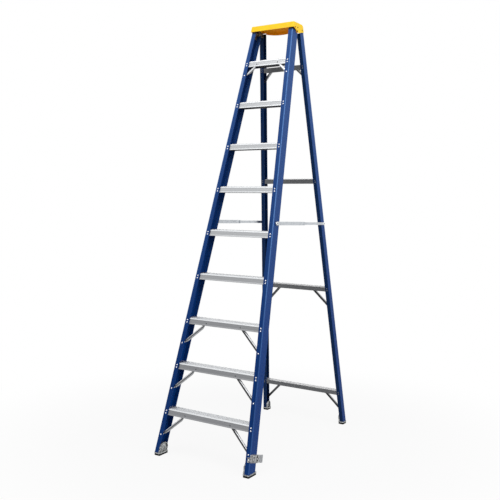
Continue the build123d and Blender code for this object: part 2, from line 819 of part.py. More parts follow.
def cap():
    """Moulded cap: a hood with a front skirt, two cheeks and a rear skirt that is deepest in its middle."""
    rear = hinge_y + cap_rear_reach
    hood = Polygon(
        (skirt_y(skirt_bottom), skirt_bottom),
        (skirt_y(cap_top), cap_top),
        (rear, cap_top),
        (rear, skirt_bottom),
        align=None,
    )
    hood = rounded(hood, (rear, cap_top), cap_rear_round)
    hood = rounded(hood, (skirt_y(cap_top), cap_top), cap_front_round)
    wall_along_y = cap_wall / cos(front_turn)
    hollow = Polygon(
        (skirt_y(skirt_bottom - cap_wall) + wall_along_y, skirt_bottom - cap_wall),
        (skirt_y(cap_underside) + wall_along_y, cap_underside),
        (rear - cap_wall, cap_underside),
        (rear - cap_wall, skirt_bottom - cap_wall),
        align=None,
    )
    hollow = rounded(hollow, (rear - cap_wall, cap_underside), cap_rear_round - cap_wall)
    shell = between_webs(
        extrude(Plane.YZ * hood, amount=reach / 2, both=True), world_front_web, -cheek_outer
    )
    for end in (shell.faces().sort_by(Axis.X)[0], shell.faces().sort_by(Axis.X)[-1]):
        shell = fillet(end.edges().sort_by(Axis.Z)[1:], cap_edge_round)
    shell = shell - between_webs(
        extrude(Plane.YZ * hollow, amount=reach / 2, both=True), world_front_web, -cheek_inner
    )
    slot_start = rear_half_at_hinge - rear_flange - rail_slot_gap
    slot = block(
        (slot_start, hinge_y, 0),
        (reach, rear + cap_wall, hinge_z + crown_rise + rail_slot_gap),
    )
    slot = split(slot, bisect_by=web_plane(world_front_web, cheek_inner), keep=Keep.BOTTOM)
    shell = shell - slot - other_side(slot)

    below = rear_skirt_bottom - cap_wall
    skirt_end = rear_skirt_bottom + rear_skirt_belly
    shell = shell + block((-slot_start, rear - cap_wall, below), (slot_start, rear, skirt_bottom))
    edge = ThreePointArc((-slot_start, 0, skirt_end), (0, 0, rear_skirt_bottom), (slot_start, 0, skirt_end))
    rest = Polyline(
        (slot_start, 0, skirt_end),
        (slot_start + rail_slot_gap, 0, skirt_end),
        (slot_start + rail_slot_gap, 0, below - cap_wall),
        (-slot_start - rail_slot_gap, 0, below - cap_wall),
        (-slot_start - rail_slot_gap, 0, skirt_end),
        (-slot_start, 0, skirt_end),
    )
    trim = extrude(make_face([edge, rest]), amount=cap_rear_reach + cap_wall, dir=(0, 1, 0))
    shell = shell - Pos(0, hinge_y, 0) * trim

    lobe_low = hinge_z - cheek_lobe_drop
    lobe_start = hinge_y - cheek_lobe_front
    notch = skirt_y(skirt_bottom) + cheek_notch_length
    outline = Polygon(
        (skirt_y(skirt_bottom), skirt_bottom),
        (skirt_y(cap_top), cap_top),
        (rear, cap_top),
        (rear, hinge_z - cheek_rear_drop),
        (lobe_start + cheek_lobe_length, lobe_low),
        (lobe_start, lobe_low),
        (notch, skirt_bottom),
        align=None,
    )
    outline = rounded(outline, (rear, cap_top), cap_rear_round)
    outline = rounded(outline, (skirt_y(cap_top), cap_top), cap_front_round)
    outline = rounded(outline, (rear, hinge_z - cheek_rear_drop), cheek_round)
    outline = rounded(outline, (lobe_start + cheek_lobe_length, lobe_low), cheek_round)
    outline = rounded(outline, (lobe_start, lobe_low), cheek_round)
    outline = rounded(outline, (notch, skirt_bottom), cheek_round)
    cheek = slab(outline, world_front_web, cheek_inner, cheek_outer)
    cheek = split(cheek, bisect_by=Plane.XY.offset(skirt_bottom), keep=Keep.BOTTOM)
    shell = shell + cheek + other_side(cheek)
    bore = bolt_head_height + counterbore_depth
    bosses = []
    holes = [drill(hinge_bolt_place, cap_bolt_grip, hinge_bolt_radius)]
    holes.append(hinge_bolt_place * Pos(0, 0, -bore) * rod(counterbore_radius, bore))
    for seat in cap_bolt_seats():
        place = front_stance * seat
        bosses.append(place * rod(boss_radius, cheek_outer - counterbore_depth))
        holes.append(drill(place, cap_bolt_grip, cap_bolt_radius))
        holes.append(place * Pos(0, 0, -bore) * rod(counterbore_radius, bore))
    shell = shell + bosses + [other_side(boss) for boss in bosses]
    return shell - holes - [other_side(hole) for hole in holes]


def hinge_bush():
    """Right-hand bush in the rear web, with its flange towards the hinge plate."""
    flange_start = hinge_plate_face + hinge_play
    barrel = cross_rod(bush_radius, 0, reach, 0, 0)
    barrel = split(barrel, bisect_by=web_plane(rear_web, -rear_wall), keep=Keep.TOP)
    barrel = split(barrel, bisect_by=web_plane(rear_web, 0), keep=Keep.BOTTOM)
    flange = cross_rod(hinge_bush_flange_radius, flange_start, reach, 0, 0)
    flange = split(flange, bisect_by=web_plane(rear_web, -rear_wall), keep=Keep.BOTTOM)
    return barrel + flange - cross_rod(hinge_bolt_radius + hole_clearance, 0, reach, 0, 0)


# Rear frame
rear_front_face = -rear_web_depth / 2
rear_back_face = rear_web_depth / 2
brace_front = rear_front_face + rear_wall
brace_back = rear_back_face - rear_wall
rear_grip = rear_wall + rear_brace_wall
rear_brace_numbers = range(1, len(rear_brace_heights) + 1)


def brace_middle(number):
    """Place of a rear brace's middle along the rear rails, from the hinge."""
    return rear_brace_heights[number - 1] - rear_length


def brace_rivet_seats(number):
    """Seats of the right-hand rivets of a rear brace, two on each flange."""
    seats = []
    for side in (-1, 1):
        along = brace_middle(number) + side * rear_brace_rivet_gap / 2
        across = rear_outer(-along) - rear_rivet_inset
        seats.append(Pos(across, rear_front_face, along) * into_depth)
        seats.append(Pos(across, rear_back_face, along) * out_of_depth)
    return seats


def diagonal_rivets(number):
    """Lower and upper rivet of the right-hand diagonal under a rear brace."""
    span = short_diagonal_span if number == short_diagonal_brace else diagonal_span
    upper_along = brace_middle(number)
    lower_along = upper_along - span
    lower = (rear_outer(-lower_along) - rear_rivet_inset, lower_along)
    return lower, (lower[0] - span, upper_along)


def diagonal(number):
    """Right-hand diagonal, inside the rear flange and inside the brace's rear wall."""
    lower, upper = diagonal_rivets(number)
    bar = strap(upper[0] - lower[0], upper[1] - lower[1], rear_brace_wall)
    return strap_place(lower, upper, brace_back, -1) * bar


def diagonal_rivet_seats(number):
    """Seats and grips of the two rivets of a right-hand diagonal."""
    lower, upper = diagonal_rivets(number)
    lower_seat = Pos(lower[0], rear_back_face, lower[1]) * out_of_depth
    upper_seat = Pos(upper[0], brace_back, upper[1]) * out_of_depth
    return [(lower_seat, rear_wall + strap_thickness), (upper_seat, rear_brace_wall + strap_thickness)]


def rear_brace(number):
    """Bar between the rear rails, open downwards."""
    width = brace_back - brace_front
    outline = Rectangle(width, rear_brace_height)
    outline = outline - Pos(0, -rear_brace_wall) * Rectangle(width - 2 * rear_brace_wall, rear_brace_height)
    for side in (-1, 1):
        for height in (-rear_brace_groove_gap / 2, rear_brace_groove_gap / 2):
            groove = Rectangle(2 * rear_brace_groove_depth, rear_brace_groove_width)
            outline = outline - Pos(side * width / 2, height) * groove
    spacing = width / rear_brace_rib_count
    for rib in range(rear_brace_rib_count):
        place = (rib + 1 / 2) * spacing - width / 2
        outline = outline + Pos(place, rear_brace_height / 2) * Rectangle(
            spacing / 2, 2 * rear_brace_rib_height
        )
    bar = extrude(Plane.YZ * Pos(0, brace_middle(number)) * outline, amount=reach / 2, both=True)
    bar = between_webs(bar, rear_web, rear_wall + rear_inner_corner + step_end_gap)
    drills = [drill(seat, rear_grip) for seat in brace_rivet_seats(number)]
    if number in diagonal_braces:
        drills.append(drill(*diagonal_rivet_seats(number)[1]))
    return bar - drills - [other_side(bit) for bit in drills]


stop_rivet_seat = rear_web * Pos(0, 0, -stop_rivet_drop) * into_web

# Spreaders
spreader_along = step_along(spreader_step) + spreader_above_step
front_pivot_y, front_pivot_z = front_point(spreader_along, spreader_front_depth)
rear_pivot_z = front_pivot_z - spreader_fall
rear_pivot_y = rear_y(rear_pivot_z)
spreader_length = hypot(rear_pivot_y - front_pivot_y, rear_pivot_z - front_pivot_z)
rear_arm_length = spreader_length - front_arm_length
spreader_run = (rear_pivot_y - front_pivot_y) / spreader_length
spreader_rise = (rear_pivot_z - front_pivot_z) / spreader_length
lap_y = front_pivot_y + front_arm_length * spreader_run
lap_z = front_pivot_z + front_arm_length * spreader_rise
rear_arm_face = front_outer(spreader_along) + spreader_standoff
front_arm_face = rear_arm_face + arm_thickness + arm_gap
world_rear_web = rear_stance * rear_web


def arm(start, length, height, face, run, rise):
    """Flat arm outside the right-hand rails from its pivot to the lap."""
    place = Plane(origin=(face, *start), x_dir=(0, run, rise), z_dir=(1, 0, 0))
    outline = Pos(length / 2, 0) * SlotCenterToCenter(length, height)
    outline = outline - Circle(stud_radius + hole_clearance)
    outline = outline - Pos(length, 0) * Circle(lap_rivet_radius + hole_clearance)
    return place, extrude(outline, amount=arm_thickness)


def front_arm():
    """Right-hand front arm, with a stiffening bead on its outer face."""
    place, bar = arm(
        (front_pivot_y, front_pivot_z), front_arm_length, front_arm_height,
        front_arm_face, spreader_run, spreader_rise,
    )
    bead_length = front_arm_length - 2 * arm_bead_margin
    bead = Pos(front_arm_length / 2, 0, arm_thickness) * SlotCenterToCenter(bead_length, arm_bead_width)
    bar = bar + extrude(bead, amount=arm_bead_height)
    return place.location * bar


def rear_arm():
    """Right-hand rear arm."""
    place, bar = arm(
        (rear_pivot_y, rear_pivot_z), rear_arm_length, rear_arm_height,
        rear_arm_face, -spreader_run, -spreader_rise,
    )
    return place.location * bar


def stud(web, wall, y, z, face, head_height):
    """Shouldered pivot stud on a right-hand web, square to X, with the arm's inner face at X = face."""
    outside = web_plane(web, 0)
    inside = web_plane(web, -wall)
    shoulder_end = face - arm_gap
    head_start = face + arm_thickness + arm_gap
    head_end = head_start + head_height
    shoulder = cross_rod(stud_shoulder_radius, 0, shoulder_end, y, z)
    shoulder = split(shoulder, bisect_by=outside, keep=Keep.TOP)
    tail = cross_rod(stud_tail_radius, 0, shoulder_end, y, z)
    tail_inside = web_plane(web, -wall - stud_tail_height)
    tail = split(tail, bisect_by=inside, keep=Keep.BOTTOM)
    tail = split(tail, bisect_by=tail_inside, keep=Keep.TOP)
    shank = cross_rod(stud_radius, 0, head_end, y, z)
    shank = split(shank, bisect_by=tail_inside, keep=Keep.TOP)
    head = cross_rod(stud_head_radius, head_start, head_end, y, z)
    head = fillet(head.edges().group_by(Axis.X)[-1], stud_head_share * head_height)
    dimple = cross_rod(stud_dimple_radius, head_end - stud_dimple_depth, head_end, y, z)
    return shoulder + tail + shank + head - dimple


def stud_hole(y, z):
    """Hole for a pivot stud through a right-hand web."""
    return cross_rod(stud_radius + hole_clearance, 0, reach, y, z)


def lap_rivet(face, outwards):
    """One half of the lap joint's rivet: a shank in its own arm and a head on the arm's free side."""
    shank = cross_rod(lap_rivet_radius, face, face + arm_thickness, lap_y, lap_z)
    head_start = face + arm_thickness if outwards else face - lap_head_height
    return shank + cross_rod(lap_head_radius, head_start, head_start + lap_head_height, lap_y, lap_z)


# Rails
def front_rail():
    """Right-hand front rail, drilled and cut off level at both ends, without the keeper's holes."""
    section = channel(front_web_depth, front_flange, front_wall, front_outer_corner, front_inner_corner)
    rail = front_web * extrude(section, amount=hinge_along + step_pitch)
    drills = []
    for number in range(1, step_count + 1):
        drills += [drill(*seat) for seat in step_rivet_seats(number)]
    for number in knee_steps:
        drills.append(drill(*knee_rivet_seats(number)[0]))
    drills += [drill(seat, front_shoe_grip) for seat in front_shoe_seats]
    drills += [drill(seat, cap_bolt_grip, cap_bolt_radius) for seat in cap_bolt_seats()]
    cope = front_web * block(
        (-reach, step_rear - front_inner_corner, hinge_along - arm_room),
        (-front_wall, front_web_depth + arm_room, hinge_along + step_pitch),
    )
    rail = front_stance * (rail - drills - cope)
    rail = rail - stud_hole(front_pivot_y, front_pivot_z)
    rail = split(rail, bisect_by=Plane.XY.offset(sole_top), keep=Keep.TOP)
    return split(rail, bisect_by=Plane.XY.offset(front_rail_top), keep=Keep.BOTTOM)


def rear_rail():
    """Right-hand rear rail, relieved round the hinge plate and cut off level at its foot."""
    section = channel(rear_web_depth, rear_flange, rear_wall, rear_outer_corner, rear_inner_corner)
    length = rear_length + crown_radius + rear_brace_heights[0]
    rail = Pos(0, rear_front_face, crown_radius - length) * extrude(section, amount=length)
    crown = block((-reach, -rear_web_depth, 0), (reach, rear_web_depth, rear_web_depth))
    crown = crown - cross_rod(crown_radius, -reach, reach, 0, 0)
    relief = block(
        (-reach, -rear_web_depth, -arm_room),
        (-rear_wall, brace_front + rear_inner_corner, rear_web_depth),
    )
    rail = rear_web * (rail - relief - crown)
    drills = [drill(stop_rivet_seat, rear_wall)]
    for number in rear_brace_numbers:
        drills += [drill(seat, rear_grip) for seat in brace_rivet_seats(number)]
    for number in diagonal_braces:
        drills.append(drill(*diagonal_rivet_seats(number)[0]))
    drills += [drill(seat, rear_shoe_grip) for seat in rear_shoe_seats]
    bush_hole = cross_rod(bush_radius + hole_clearance, 0, reach, 0, 0)
    rail = rear_stance * (rail - drills - bush_hole)
    rail = rail - stud_hole(rear_pivot_y, rear_pivot_z)
    return split(rail, bisect_by=Plane.XY.offset(sole_top), keep=Keep.TOP)


os.makedirs("parts", exist_ok=True)

# Front frame
right_front_rail = front_rail()
keeper_drills = [drill(*seat) for seat in keeper_rivet_seats() + keeper_pin_seats()]
save("front_rail_left", other_side(right_front_rail))
save("front_rail_right", right_front_rail - [front_stance * bit for bit in keeper_drills])
for number in range(1, step_count + 1):
    save(f"step_{number}", front_stance * step(number))
for number in knee_steps:
    brace = front_stance * knee_brace(number)
    save(f"knee_brace_{number}_right", brace)
    save(f"knee_brace_{number}_left", other_side(brace))

front_rivets = []
for number in range(1, step_count + 1):
    front_rivets += [seat * rivet(grip) for seat, grip in step_rivet_seats(number)]
for number in knee_steps:
    front_rivets += [seat * rivet(grip) for seat, grip in knee_rivet_seats(number)]
front_rivets += [seat * rivet(front_shoe_grip) for seat in front_shoe_seats]
keeper_rivets = [seat * rivet(grip) for seat, grip in keeper_rivet_seats()]
keeper_rivets += [seat * rod(rivet_shank_radius, grip) for seat, grip in keeper_pin_seats()]
right_rivets = [front_stance * solid for solid in front_rivets + keeper_rivets]
left_rivets = [other_side(front_stance * solid) for solid in front_rivets]
save("front_rivets", *right_rivets, *left_rivets)

save("front_shoe_right", front_shoe())
save("front_shoe_left", other_side(front_shoe()))
save("front_pad_right", pad(*front_sole_sides))
save("front_pad_left", other_side(pad(*front_sole_sides)))
save("keeper", front_stance * keeper())
save("keeper_block", front_stance * keeper_block())

# Cap and hinge
save("top_cap", cap())
save("hinge_plate_right", hinge_plate())
save("hinge_plate_left", other_side(hinge_plate()))
cap_bolts = [front_stance * seat * bolt(cap_bolt_radius, cap_bolt_grip, nut_height + bolt_end)
             for seat in cap_bolt_seats()]
cap_nuts = [front_stance * seat * Pos(0, 0, cap_bolt_grip) * nut(cap_bolt_radius)
            for seat in cap_bolt_seats()]
hinge_grip = hinge_seat - hinge_nut_seat
hinge_bolt = hinge_bolt_place * bolt(hinge_bolt_radius, hinge_grip, nut_height + bolt_end)
top_nuts = cap_nuts + [hinge_nut_place * nut(hinge_bolt_radius)]
keeper_bolts = [front_stance * seat * bolt(cap_bolt_radius, grip, 0) for seat, grip in keeper_bolt_seats()]
save("small_bolts", *cap_bolts, *[other_side(solid) for solid in cap_bolts], *keeper_bolts)
save("hinge_bolts", hinge_bolt, other_side(hinge_bolt))
save("top_nuts", *top_nuts, *[other_side(solid) for solid in top_nuts])

# Rear frame
save("rear_rail_right", rear_rail())
save("rear_rail_left", other_side(rear_rail()))
for number in rear_brace_numbers:
    save(f"rear_brace_{number}", rear_stance * rear_brace(number))
for number in diagonal_braces:
    bar = rear_stance * diagonal(number)
    save(f"rear_diagonal_{number}_right", bar)
    save(f"rear_diagonal_{number}_left", other_side(bar))
rear_rivets = [stop_rivet_seat * rivet(rear_wall)]
for number in rear_brace_numbers:
    rear_rivets += [seat * rivet(rear_grip) for seat in brace_rivet_seats(number)]
for number in diagonal_braces:
    rear_rivets += [seat * rivet(grip) for seat, grip in diagonal_rivet_seats(number)]
rear_rivets += [seat * rivet(rear_shoe_grip) for seat in rear_shoe_seats]
rear_rivets = [rear_stance * solid for solid in rear_rivets]
save("rear_rivets", *rear_rivets, *[other_side(solid) for solid in rear_rivets])
save("rear_shoe_right", rear_shoe())
save("rear_shoe_left", other_side(rear_shoe()))
save("rear_pad_right", pad(*rear_sole_sides))
save("rear_pad_left", other_side(pad(*rear_sole_sides)))
save("hinge_bushes", rear_stance * hinge_bush(), other_side(rear_stance * hinge_bush()))

# Spreaders
front_stud = stud(
    world_front_web, front_wall, front_pivot_y, front_pivot_z,
    front_arm_face, front_stud_head_height,
)
rear_stud = stud(
    world_rear_web, rear_wall, rear_pivot_y, rear_pivot_z,
    rear_arm_face, rear_stud_head_height,
)
save("spreader_front_studs", front_stud, other_side(front_stud))
save("spreader_rear_studs", rear_stud, other_side(rear_stud))
for name, solid in (
    ("spreader_front_arm", front_arm()),
    ("spreader_rear_arm", rear_arm()),
    ("lap_rivet_front", lap_rivet(front_arm_face, True)),
    ("lap_rivet_rear", lap_rivet(rear_arm_face, False)),
):
    save(f"{name}_right", solid)
    save(f"{name}_left", other_side(solid))
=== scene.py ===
"""Looks of a fibreglass A-frame step ladder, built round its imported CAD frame."""

import logging
import math
from dataclasses import dataclass
from enum import Enum
from typing import Any, ClassVar

import bpy
from mathutils import Euler, Matrix, Vector


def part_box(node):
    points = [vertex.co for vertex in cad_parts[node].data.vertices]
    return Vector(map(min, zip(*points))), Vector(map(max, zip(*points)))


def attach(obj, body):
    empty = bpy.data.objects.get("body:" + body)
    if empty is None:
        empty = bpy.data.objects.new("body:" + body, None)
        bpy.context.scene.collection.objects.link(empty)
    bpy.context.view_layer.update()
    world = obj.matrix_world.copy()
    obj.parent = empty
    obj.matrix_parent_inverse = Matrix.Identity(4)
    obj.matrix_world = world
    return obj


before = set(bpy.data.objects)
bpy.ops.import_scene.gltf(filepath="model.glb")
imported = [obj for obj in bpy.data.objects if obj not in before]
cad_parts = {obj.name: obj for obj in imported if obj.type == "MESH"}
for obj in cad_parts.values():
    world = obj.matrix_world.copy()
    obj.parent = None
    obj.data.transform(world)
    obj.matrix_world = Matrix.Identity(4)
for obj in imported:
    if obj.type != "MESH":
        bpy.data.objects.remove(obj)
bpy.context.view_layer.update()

LOG = logging.getLogger("ladder")
MM = 0.001
FRONT_LEAN = math.radians(15.53)
REAR_LEAN = math.radians(8.87)
FORWARD = -0.5  # a face that looks forward has a normal with a smaller Y
UPRIGHT = 0.1  # a face that doesn't look up has a normal with a smaller Z
UNDER, OVER = 6, 7  # a Mix node's inputs for a colour and the one laid over it

Tree = bpy.types.NodeTree
Node = bpy.types.Node
Socket = bpy.types.NodeSocket
Material = bpy.types.Material
Outputs = bpy.types.NodeOutputs
Source = Node | Socket
Colour = tuple[float, float, float, float]
Inputs = dict[Any, Any]
Line = tuple[Vector, Vector]
Point = tuple[float, float, float]
Span = tuple[float, float]
Tones = tuple[tuple[float, str], ...]


class Side(Enum):
    """The two sides of the ladder, as the climber sees them."""

    LEFT = -1
    RIGHT = 1

    @property
    def word(self) -> str:
        """The side's word in node names."""
        return self.name.lower()


class Slot(Enum):
    """The record's material slots that are named here."""

    STEP = "ribbed_aluminium"
    BRACE = "brace_aluminium"
    CAP = "yellow_plastic"
    SHOE = "shoe_aluminium"
    PAD = "black_rubber"
    BLOCK = "grey_plastic"
    PLATE = "plate_steel"
    BOLT = "dark_steel"
    BUSH = "bush_plastic"
    ZINC = "zinc_steel"


def linear(hex_colour: str) -> Colour:
    """Turn an sRGB hex colour into a linear one.

    Args:
        hex_colour: six hex digits after a hash sign.

    Returns:
        Red, green, blue and an alpha of 1.
    """
    values = [int(hex_colour[place:place + 2], 16) / 255 for place in (1, 3, 5)]
    red, green, blue = [
        value / 12.92 if value <= 0.04045 else ((value + 0.055) / 1.055) ** 2.4 for value in values
    ]
    return red, green, blue, 1.0


def add(
    tree: Tree, kind: str, inputs: Inputs | None = None, tones: Tones = (), **settings: Any
) -> Node:
    """Add a node with its settings, values and links.

    Args:
        tree: the tree that the node goes in.
        kind: the node's type.
        inputs: for each input, by name or number: a value, a node's output, or a node, whose first
            output in use is taken.
        tones: a colour ramp's places and sRGB hex colours, in order.
        settings: the node's own properties.

    Returns:
        The new node.
    """
    node = tree.nodes.new(kind)
    for name, value in settings.items():
        setattr(node, name, value)
    for number, (spot, colour) in enumerate(tones):
        stops = node.color_ramp.elements
        stop = stops[number] if number < 2 else stops.new(spot)
        stop.position = spot
        stop.color = linear(colour)
    for name, value in (inputs or {}).items():
        if isinstance(value, Node):
            value = next(output for output in value.outputs if output.enabled)
        if isinstance(value, Socket):
            tree.links.new(value, node.inputs[name])
        else:
            node.inputs[name].default_value = value
    return node


def new_object(name: str, data: bpy.types.ID) -> bpy.types.Object:
    """Put a new object in the scene.

    Args:
        name: the object's name.
        data: its mesh, lamp or camera.

    Returns:
        The object.
    """
    made = bpy.data.objects.new(name, data)
    bpy.context.scene.collection.objects.link(made)
    return made


def facing(tree: Tree) -> Outputs:
    """Find the way that a face looks.

    Args:
        tree: the material's node tree.

    Returns:
        Outputs with the X, Y and Z of the face's normal.
    """
    normal = add(tree, "ShaderNodeTexCoord").outputs["Normal"]
    return add(tree, "ShaderNodeSeparateXYZ", {0: normal}).outputs


def off_rails(tree: Tree, place: Source, first: float = 0.0) -> Outputs:
    """Measure from the front rails' front faces.

    Args:
        tree: the material's node tree.
        place: Object coordinates, in metres.
        first: distance up the rails that counts as 0, in metres.

    Returns:
        Outputs with the distances across, behind and up the rails, in metres.
    """
    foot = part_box(f"front_rail_{Side.RIGHT.word}")[0]
    front = foot.y - foot.z * math.tan(FRONT_LEAN)
    shift = (0.0, -front * math.cos(FRONT_LEAN), -front * math.sin(FRONT_LEAN) - first)
    turn = {"Rotation": (FRONT_LEAN, 0.0, 0.0), "Location": shift}
    upright = add(tree, "ShaderNodeMapping", {"Vector": place, **turn})
    return add(tree, "ShaderNodeSeparateXYZ", {0: upright}).outputs


@dataclass(frozen=True)
class Finish:
    """A surface as it was made.

    Args:
        name: the real material and how its surface was made.
        roughness: mean roughness.
    """

    name: str
    roughness: float

    between: ClassVar[Span]  # values of a pattern between which the colour changes
    blend: ClassVar[str] = "SMOOTHSTEP"  # how it changes between them
    spread: ClassVar[Span | None] = (-0.1, 0.1)  # roughness added where a grain is low and high
    strength: ClassVar[float] = 0.2  # strength of the grain's bump
    relief: ClassVar[float] = 0.1  # depth of the grain, in mm

    def mottled(self, tree: Tree, pattern: Source, first: str, second: str) -> Node:
        """Give one colour where a pattern is low and another where it is high.

        Args:
            tree: the material's node tree.
            pattern: the pattern, from 0 to 1.
            first: sRGB hex colour where it is low.
            second: colour where it is high.

        Returns:
            The node with the colour.
        """
        low, high = self.between
        share = add(
            tree, "ShaderNodeMapRange", {"Value": pattern, "From Min": low, "From Max": high},
            interpolation_type=self.blend,
        )
        colours = {UNDER: linear(first), OVER: linear(second)}
        return add(tree, "ShaderNodeMix", {"Factor": share, **colours}, data_type="RGBA")

    def grained(self, tree: Tree, grain: Source, raised: Source | None = None) -> Inputs:
        """Give the roughness and the bump of a grain.

        Args:
            tree: the material's node tree.
            grain: the pattern of the grain, from 0 to 1.
            raised: the pattern of the bump, where it is another one.

        Returns:
            Values and nodes by the names of the shader's inputs.
        """
        gloss: Any = self.roughness
        if self.spread:
            low, high = [self.roughness + change for change in self.spread]
            gloss = add(tree, "ShaderNodeMapRange", {"Value": grain, "To Min": low, "To Max": high})
        relief = {"Strength": self.strength, "Distance": self.relief * MM}
        bump = add(tree, "ShaderNodeBump", {"Height": raised or grain, **relief})
        return {"Roughness": gloss, "Normal": bump}

    def shader(self, tree: Tree, place: Source) -> Inputs:
        """Give the shader's inputs.

        Args:
            tree: the material's node tree.
            place: Object coordinates, in metres.

        Returns:
            Values and nodes by the names of the shader's inputs.
        """
        raise NotImplementedError

    def material(self) -> Material:
        """Make the material."""
        material = bpy.data.materials.new(self.name)
        material.use_nodes = True
        tree = material.node_tree
        tree.nodes.clear()
        place = add(tree, "ShaderNodeTexCoord").outputs["Object"]
        shader = add(tree, "ShaderNodeBsdfPrincipled", self.shader(tree, place))
        add(tree, "ShaderNodeOutputMaterial", {"Surface": shader})
        return material


@dataclass(frozen=True)
class PultrudedFibreglass(Finish):
    """Pultruded polyester and glass. The eye sees a satin blue with faint streaks along the rail,
    where the glass rovings lie under the resin, and the fine tooth of the surface veil. Over it lie a
    painted sheen that grows towards the top, painted shade on the web's inner face near the top and on
    the faces that look down, a painted highlight along one outer edge and a painted shadow under the
    cap.

    Args:
        corner: a point on the outer edge, which carries the painted highlight, in metres.
        lean: the rail's lean about X, in radians.
        splay: the rail's splay about Y, in radians.
        colour: sRGB hex colour of the resin over the rovings.
        deep: colour of the resin-rich streaks.
        top_sheen: colour of the painted sheen towards the top.
        inside: colour of the web's inner face towards the top: painted shade.
        under: colour of the faces that look down: painted shade.
        edge_highlight: colour of the painted highlight along the edge.
        cap_shadow: colour of the painted shadow under the cap.
        heights: heights between which the painted sheen, and the painted shade on the web's inner face,
            come in, in mm.
        cap_shadow_heights: heights between which the painted shadow under the cap comes in, in mm.
        highlight_width: width of the painted edge highlight, in mm.
        roving: width of a streak in mm; a real roving is 2 mm, drawn coarser so that it shows.
        run: length over which a streak changes, in mm.
        veil: grain of the surface veil, in mm.
    """

    corner: Vector
    lean: float
    splay: float
    colour: str = "#073a7e"
    deep: str = "#052f6a"
    top_sheen: str = "#2a4c86"
    inside: str = "#062354"
    under: str = "#052750"
    edge_highlight: str = "#5880bb"
    cap_shadow: str = "#0d131f"
    heights: Span = (600.0, 2500.0)
    cap_shadow_heights: Span = (2846.0, 2856.0)
    highlight_width: float = 4.5
    roving: float = 6.0
    run: float = 700.0
    veil: float = 1.4

    between = (0.32, 0.68)
    spread = (-0.08, 0.08)
    strength = 0.25
    relief = 0.08
    inner: ClassVar[Span] = (0.8, 0.4)  # inward share of a normal, from the inner faces to the rest
    down: ClassVar[Span] = (-0.08, -0.14)  # upward share of a normal, from the sides to the undersides
    off_edge: ClassVar[Span] = (1.5, 0.5)  # distance in widths of the painted highlight, from none to full
    highlight_full_at: ClassVar[float] = 0.5  # height share from which the painted edge highlight is at full strength
    least: ClassVar[float] = 0.3  # strength of the painted edge highlight at the foot

    def shader(self, tree: Tree, place: Source) -> Inputs:
        """Give streaks along the rail, the painted sheen, shade and highlight, and the veil's tooth."""
        turn = (self.lean, self.splay, 0.0)
        along = add(tree, "ShaderNodeMapping", {"Vector": place, "Rotation": turn})
        across = 1 / (self.roving * MM)
        stretch = (across, across, 1 / (self.run * MM))
        drawn = add(tree, "ShaderNodeMapping", {"Vector": along, "Scale": stretch})
        streaks = add(
            tree, "ShaderNodeTexNoise", {"Vector": drawn, "Scale": 1.0, "Detail": 3.0, "Roughness": 0.6}
        )
        height = add(tree, "ShaderNodeSeparateXYZ", {0: place}).outputs[2]
        # by height: painted sheen towards the top, and painted shadow just under the cap
        height_share, cap_shadow_share = [
            add(tree, "ShaderNodeMapRange", {"Value": height, "From Min": low, "From Max": high})
            for low, high in ([level * MM for level in levels] for levels in (self.heights, self.cap_shadow_heights))
        ]
        sideways, _, upward = facing(tree)
        # painted shade on the web's inner face towards the top
        low, high = [-math.copysign(share, self.splay) for share in self.inner]
        outer = add(tree, "ShaderNodeMapRange", {"Value": sideways, "From Min": low, "From Max": high})
        tops = {UNDER: linear(self.inside), OVER: linear(self.top_sheen)}
        top = add(tree, "ShaderNodeMix", {"Factor": outer, **tops}, data_type="RGBA")
        # painted shade on the faces that look down
        low, high = self.down
        downward = add(tree, "ShaderNodeMapRange", {"Value": upward, "From Min": low, "From Max": high})
        # painted highlight along the outer edge, weaker towards the foot
        corner = Euler(turn).to_matrix() @ self.corner
        off = add(tree, "ShaderNodeVectorMath", {0: along, 1: corner}, operation="SUBTRACT")
        aside = add(tree, "ShaderNodeVectorMath", {0: off, 1: (1.0, 1.0, 0.0)}, operation="MULTIPLY")
        away = add(tree, "ShaderNodeVectorMath", {0: aside}, operation="LENGTH")
        low, high = [widths * self.highlight_width * MM for widths in self.off_edge]
        on_edge = add(tree, "ShaderNodeMapRange", {"Value": away, "From Min": low, "From Max": high})
        highlight_by_height = add(
            tree, "ShaderNodeMapRange", {"Value": height_share, "From Max": self.highlight_full_at, "To Min": self.least}
        )
        painted_highlight = add(tree, "ShaderNodeMath", {0: on_edge, 1: highlight_by_height}, operation="MULTIPLY")
        colour = self.mottled(tree, streaks, self.deep, self.colour)
        # lay on the painted sheen, the painted shade below, the painted edge highlight and the painted
        # shadow under the cap
        for share, over in (
            (height_share, top), (downward, linear(self.under)),
            (painted_highlight, linear(self.edge_highlight)), (cap_shadow_share, linear(self.cap_shadow)),
        ):
            layer = {"Factor": share, UNDER: colour, OVER: over}
            colour = add(tree, "ShaderNodeMix", layer, data_type="RGBA")
        tooth = add(
            tree, "ShaderNodeTexNoise", {"Vector": along, "Scale": 1 / (self.veil * MM), "Detail": 2.0}
        )
        return {"Base Color": colour, "Specular IOR Level": 0.09, **self.grained(tree, streaks, tooth)}


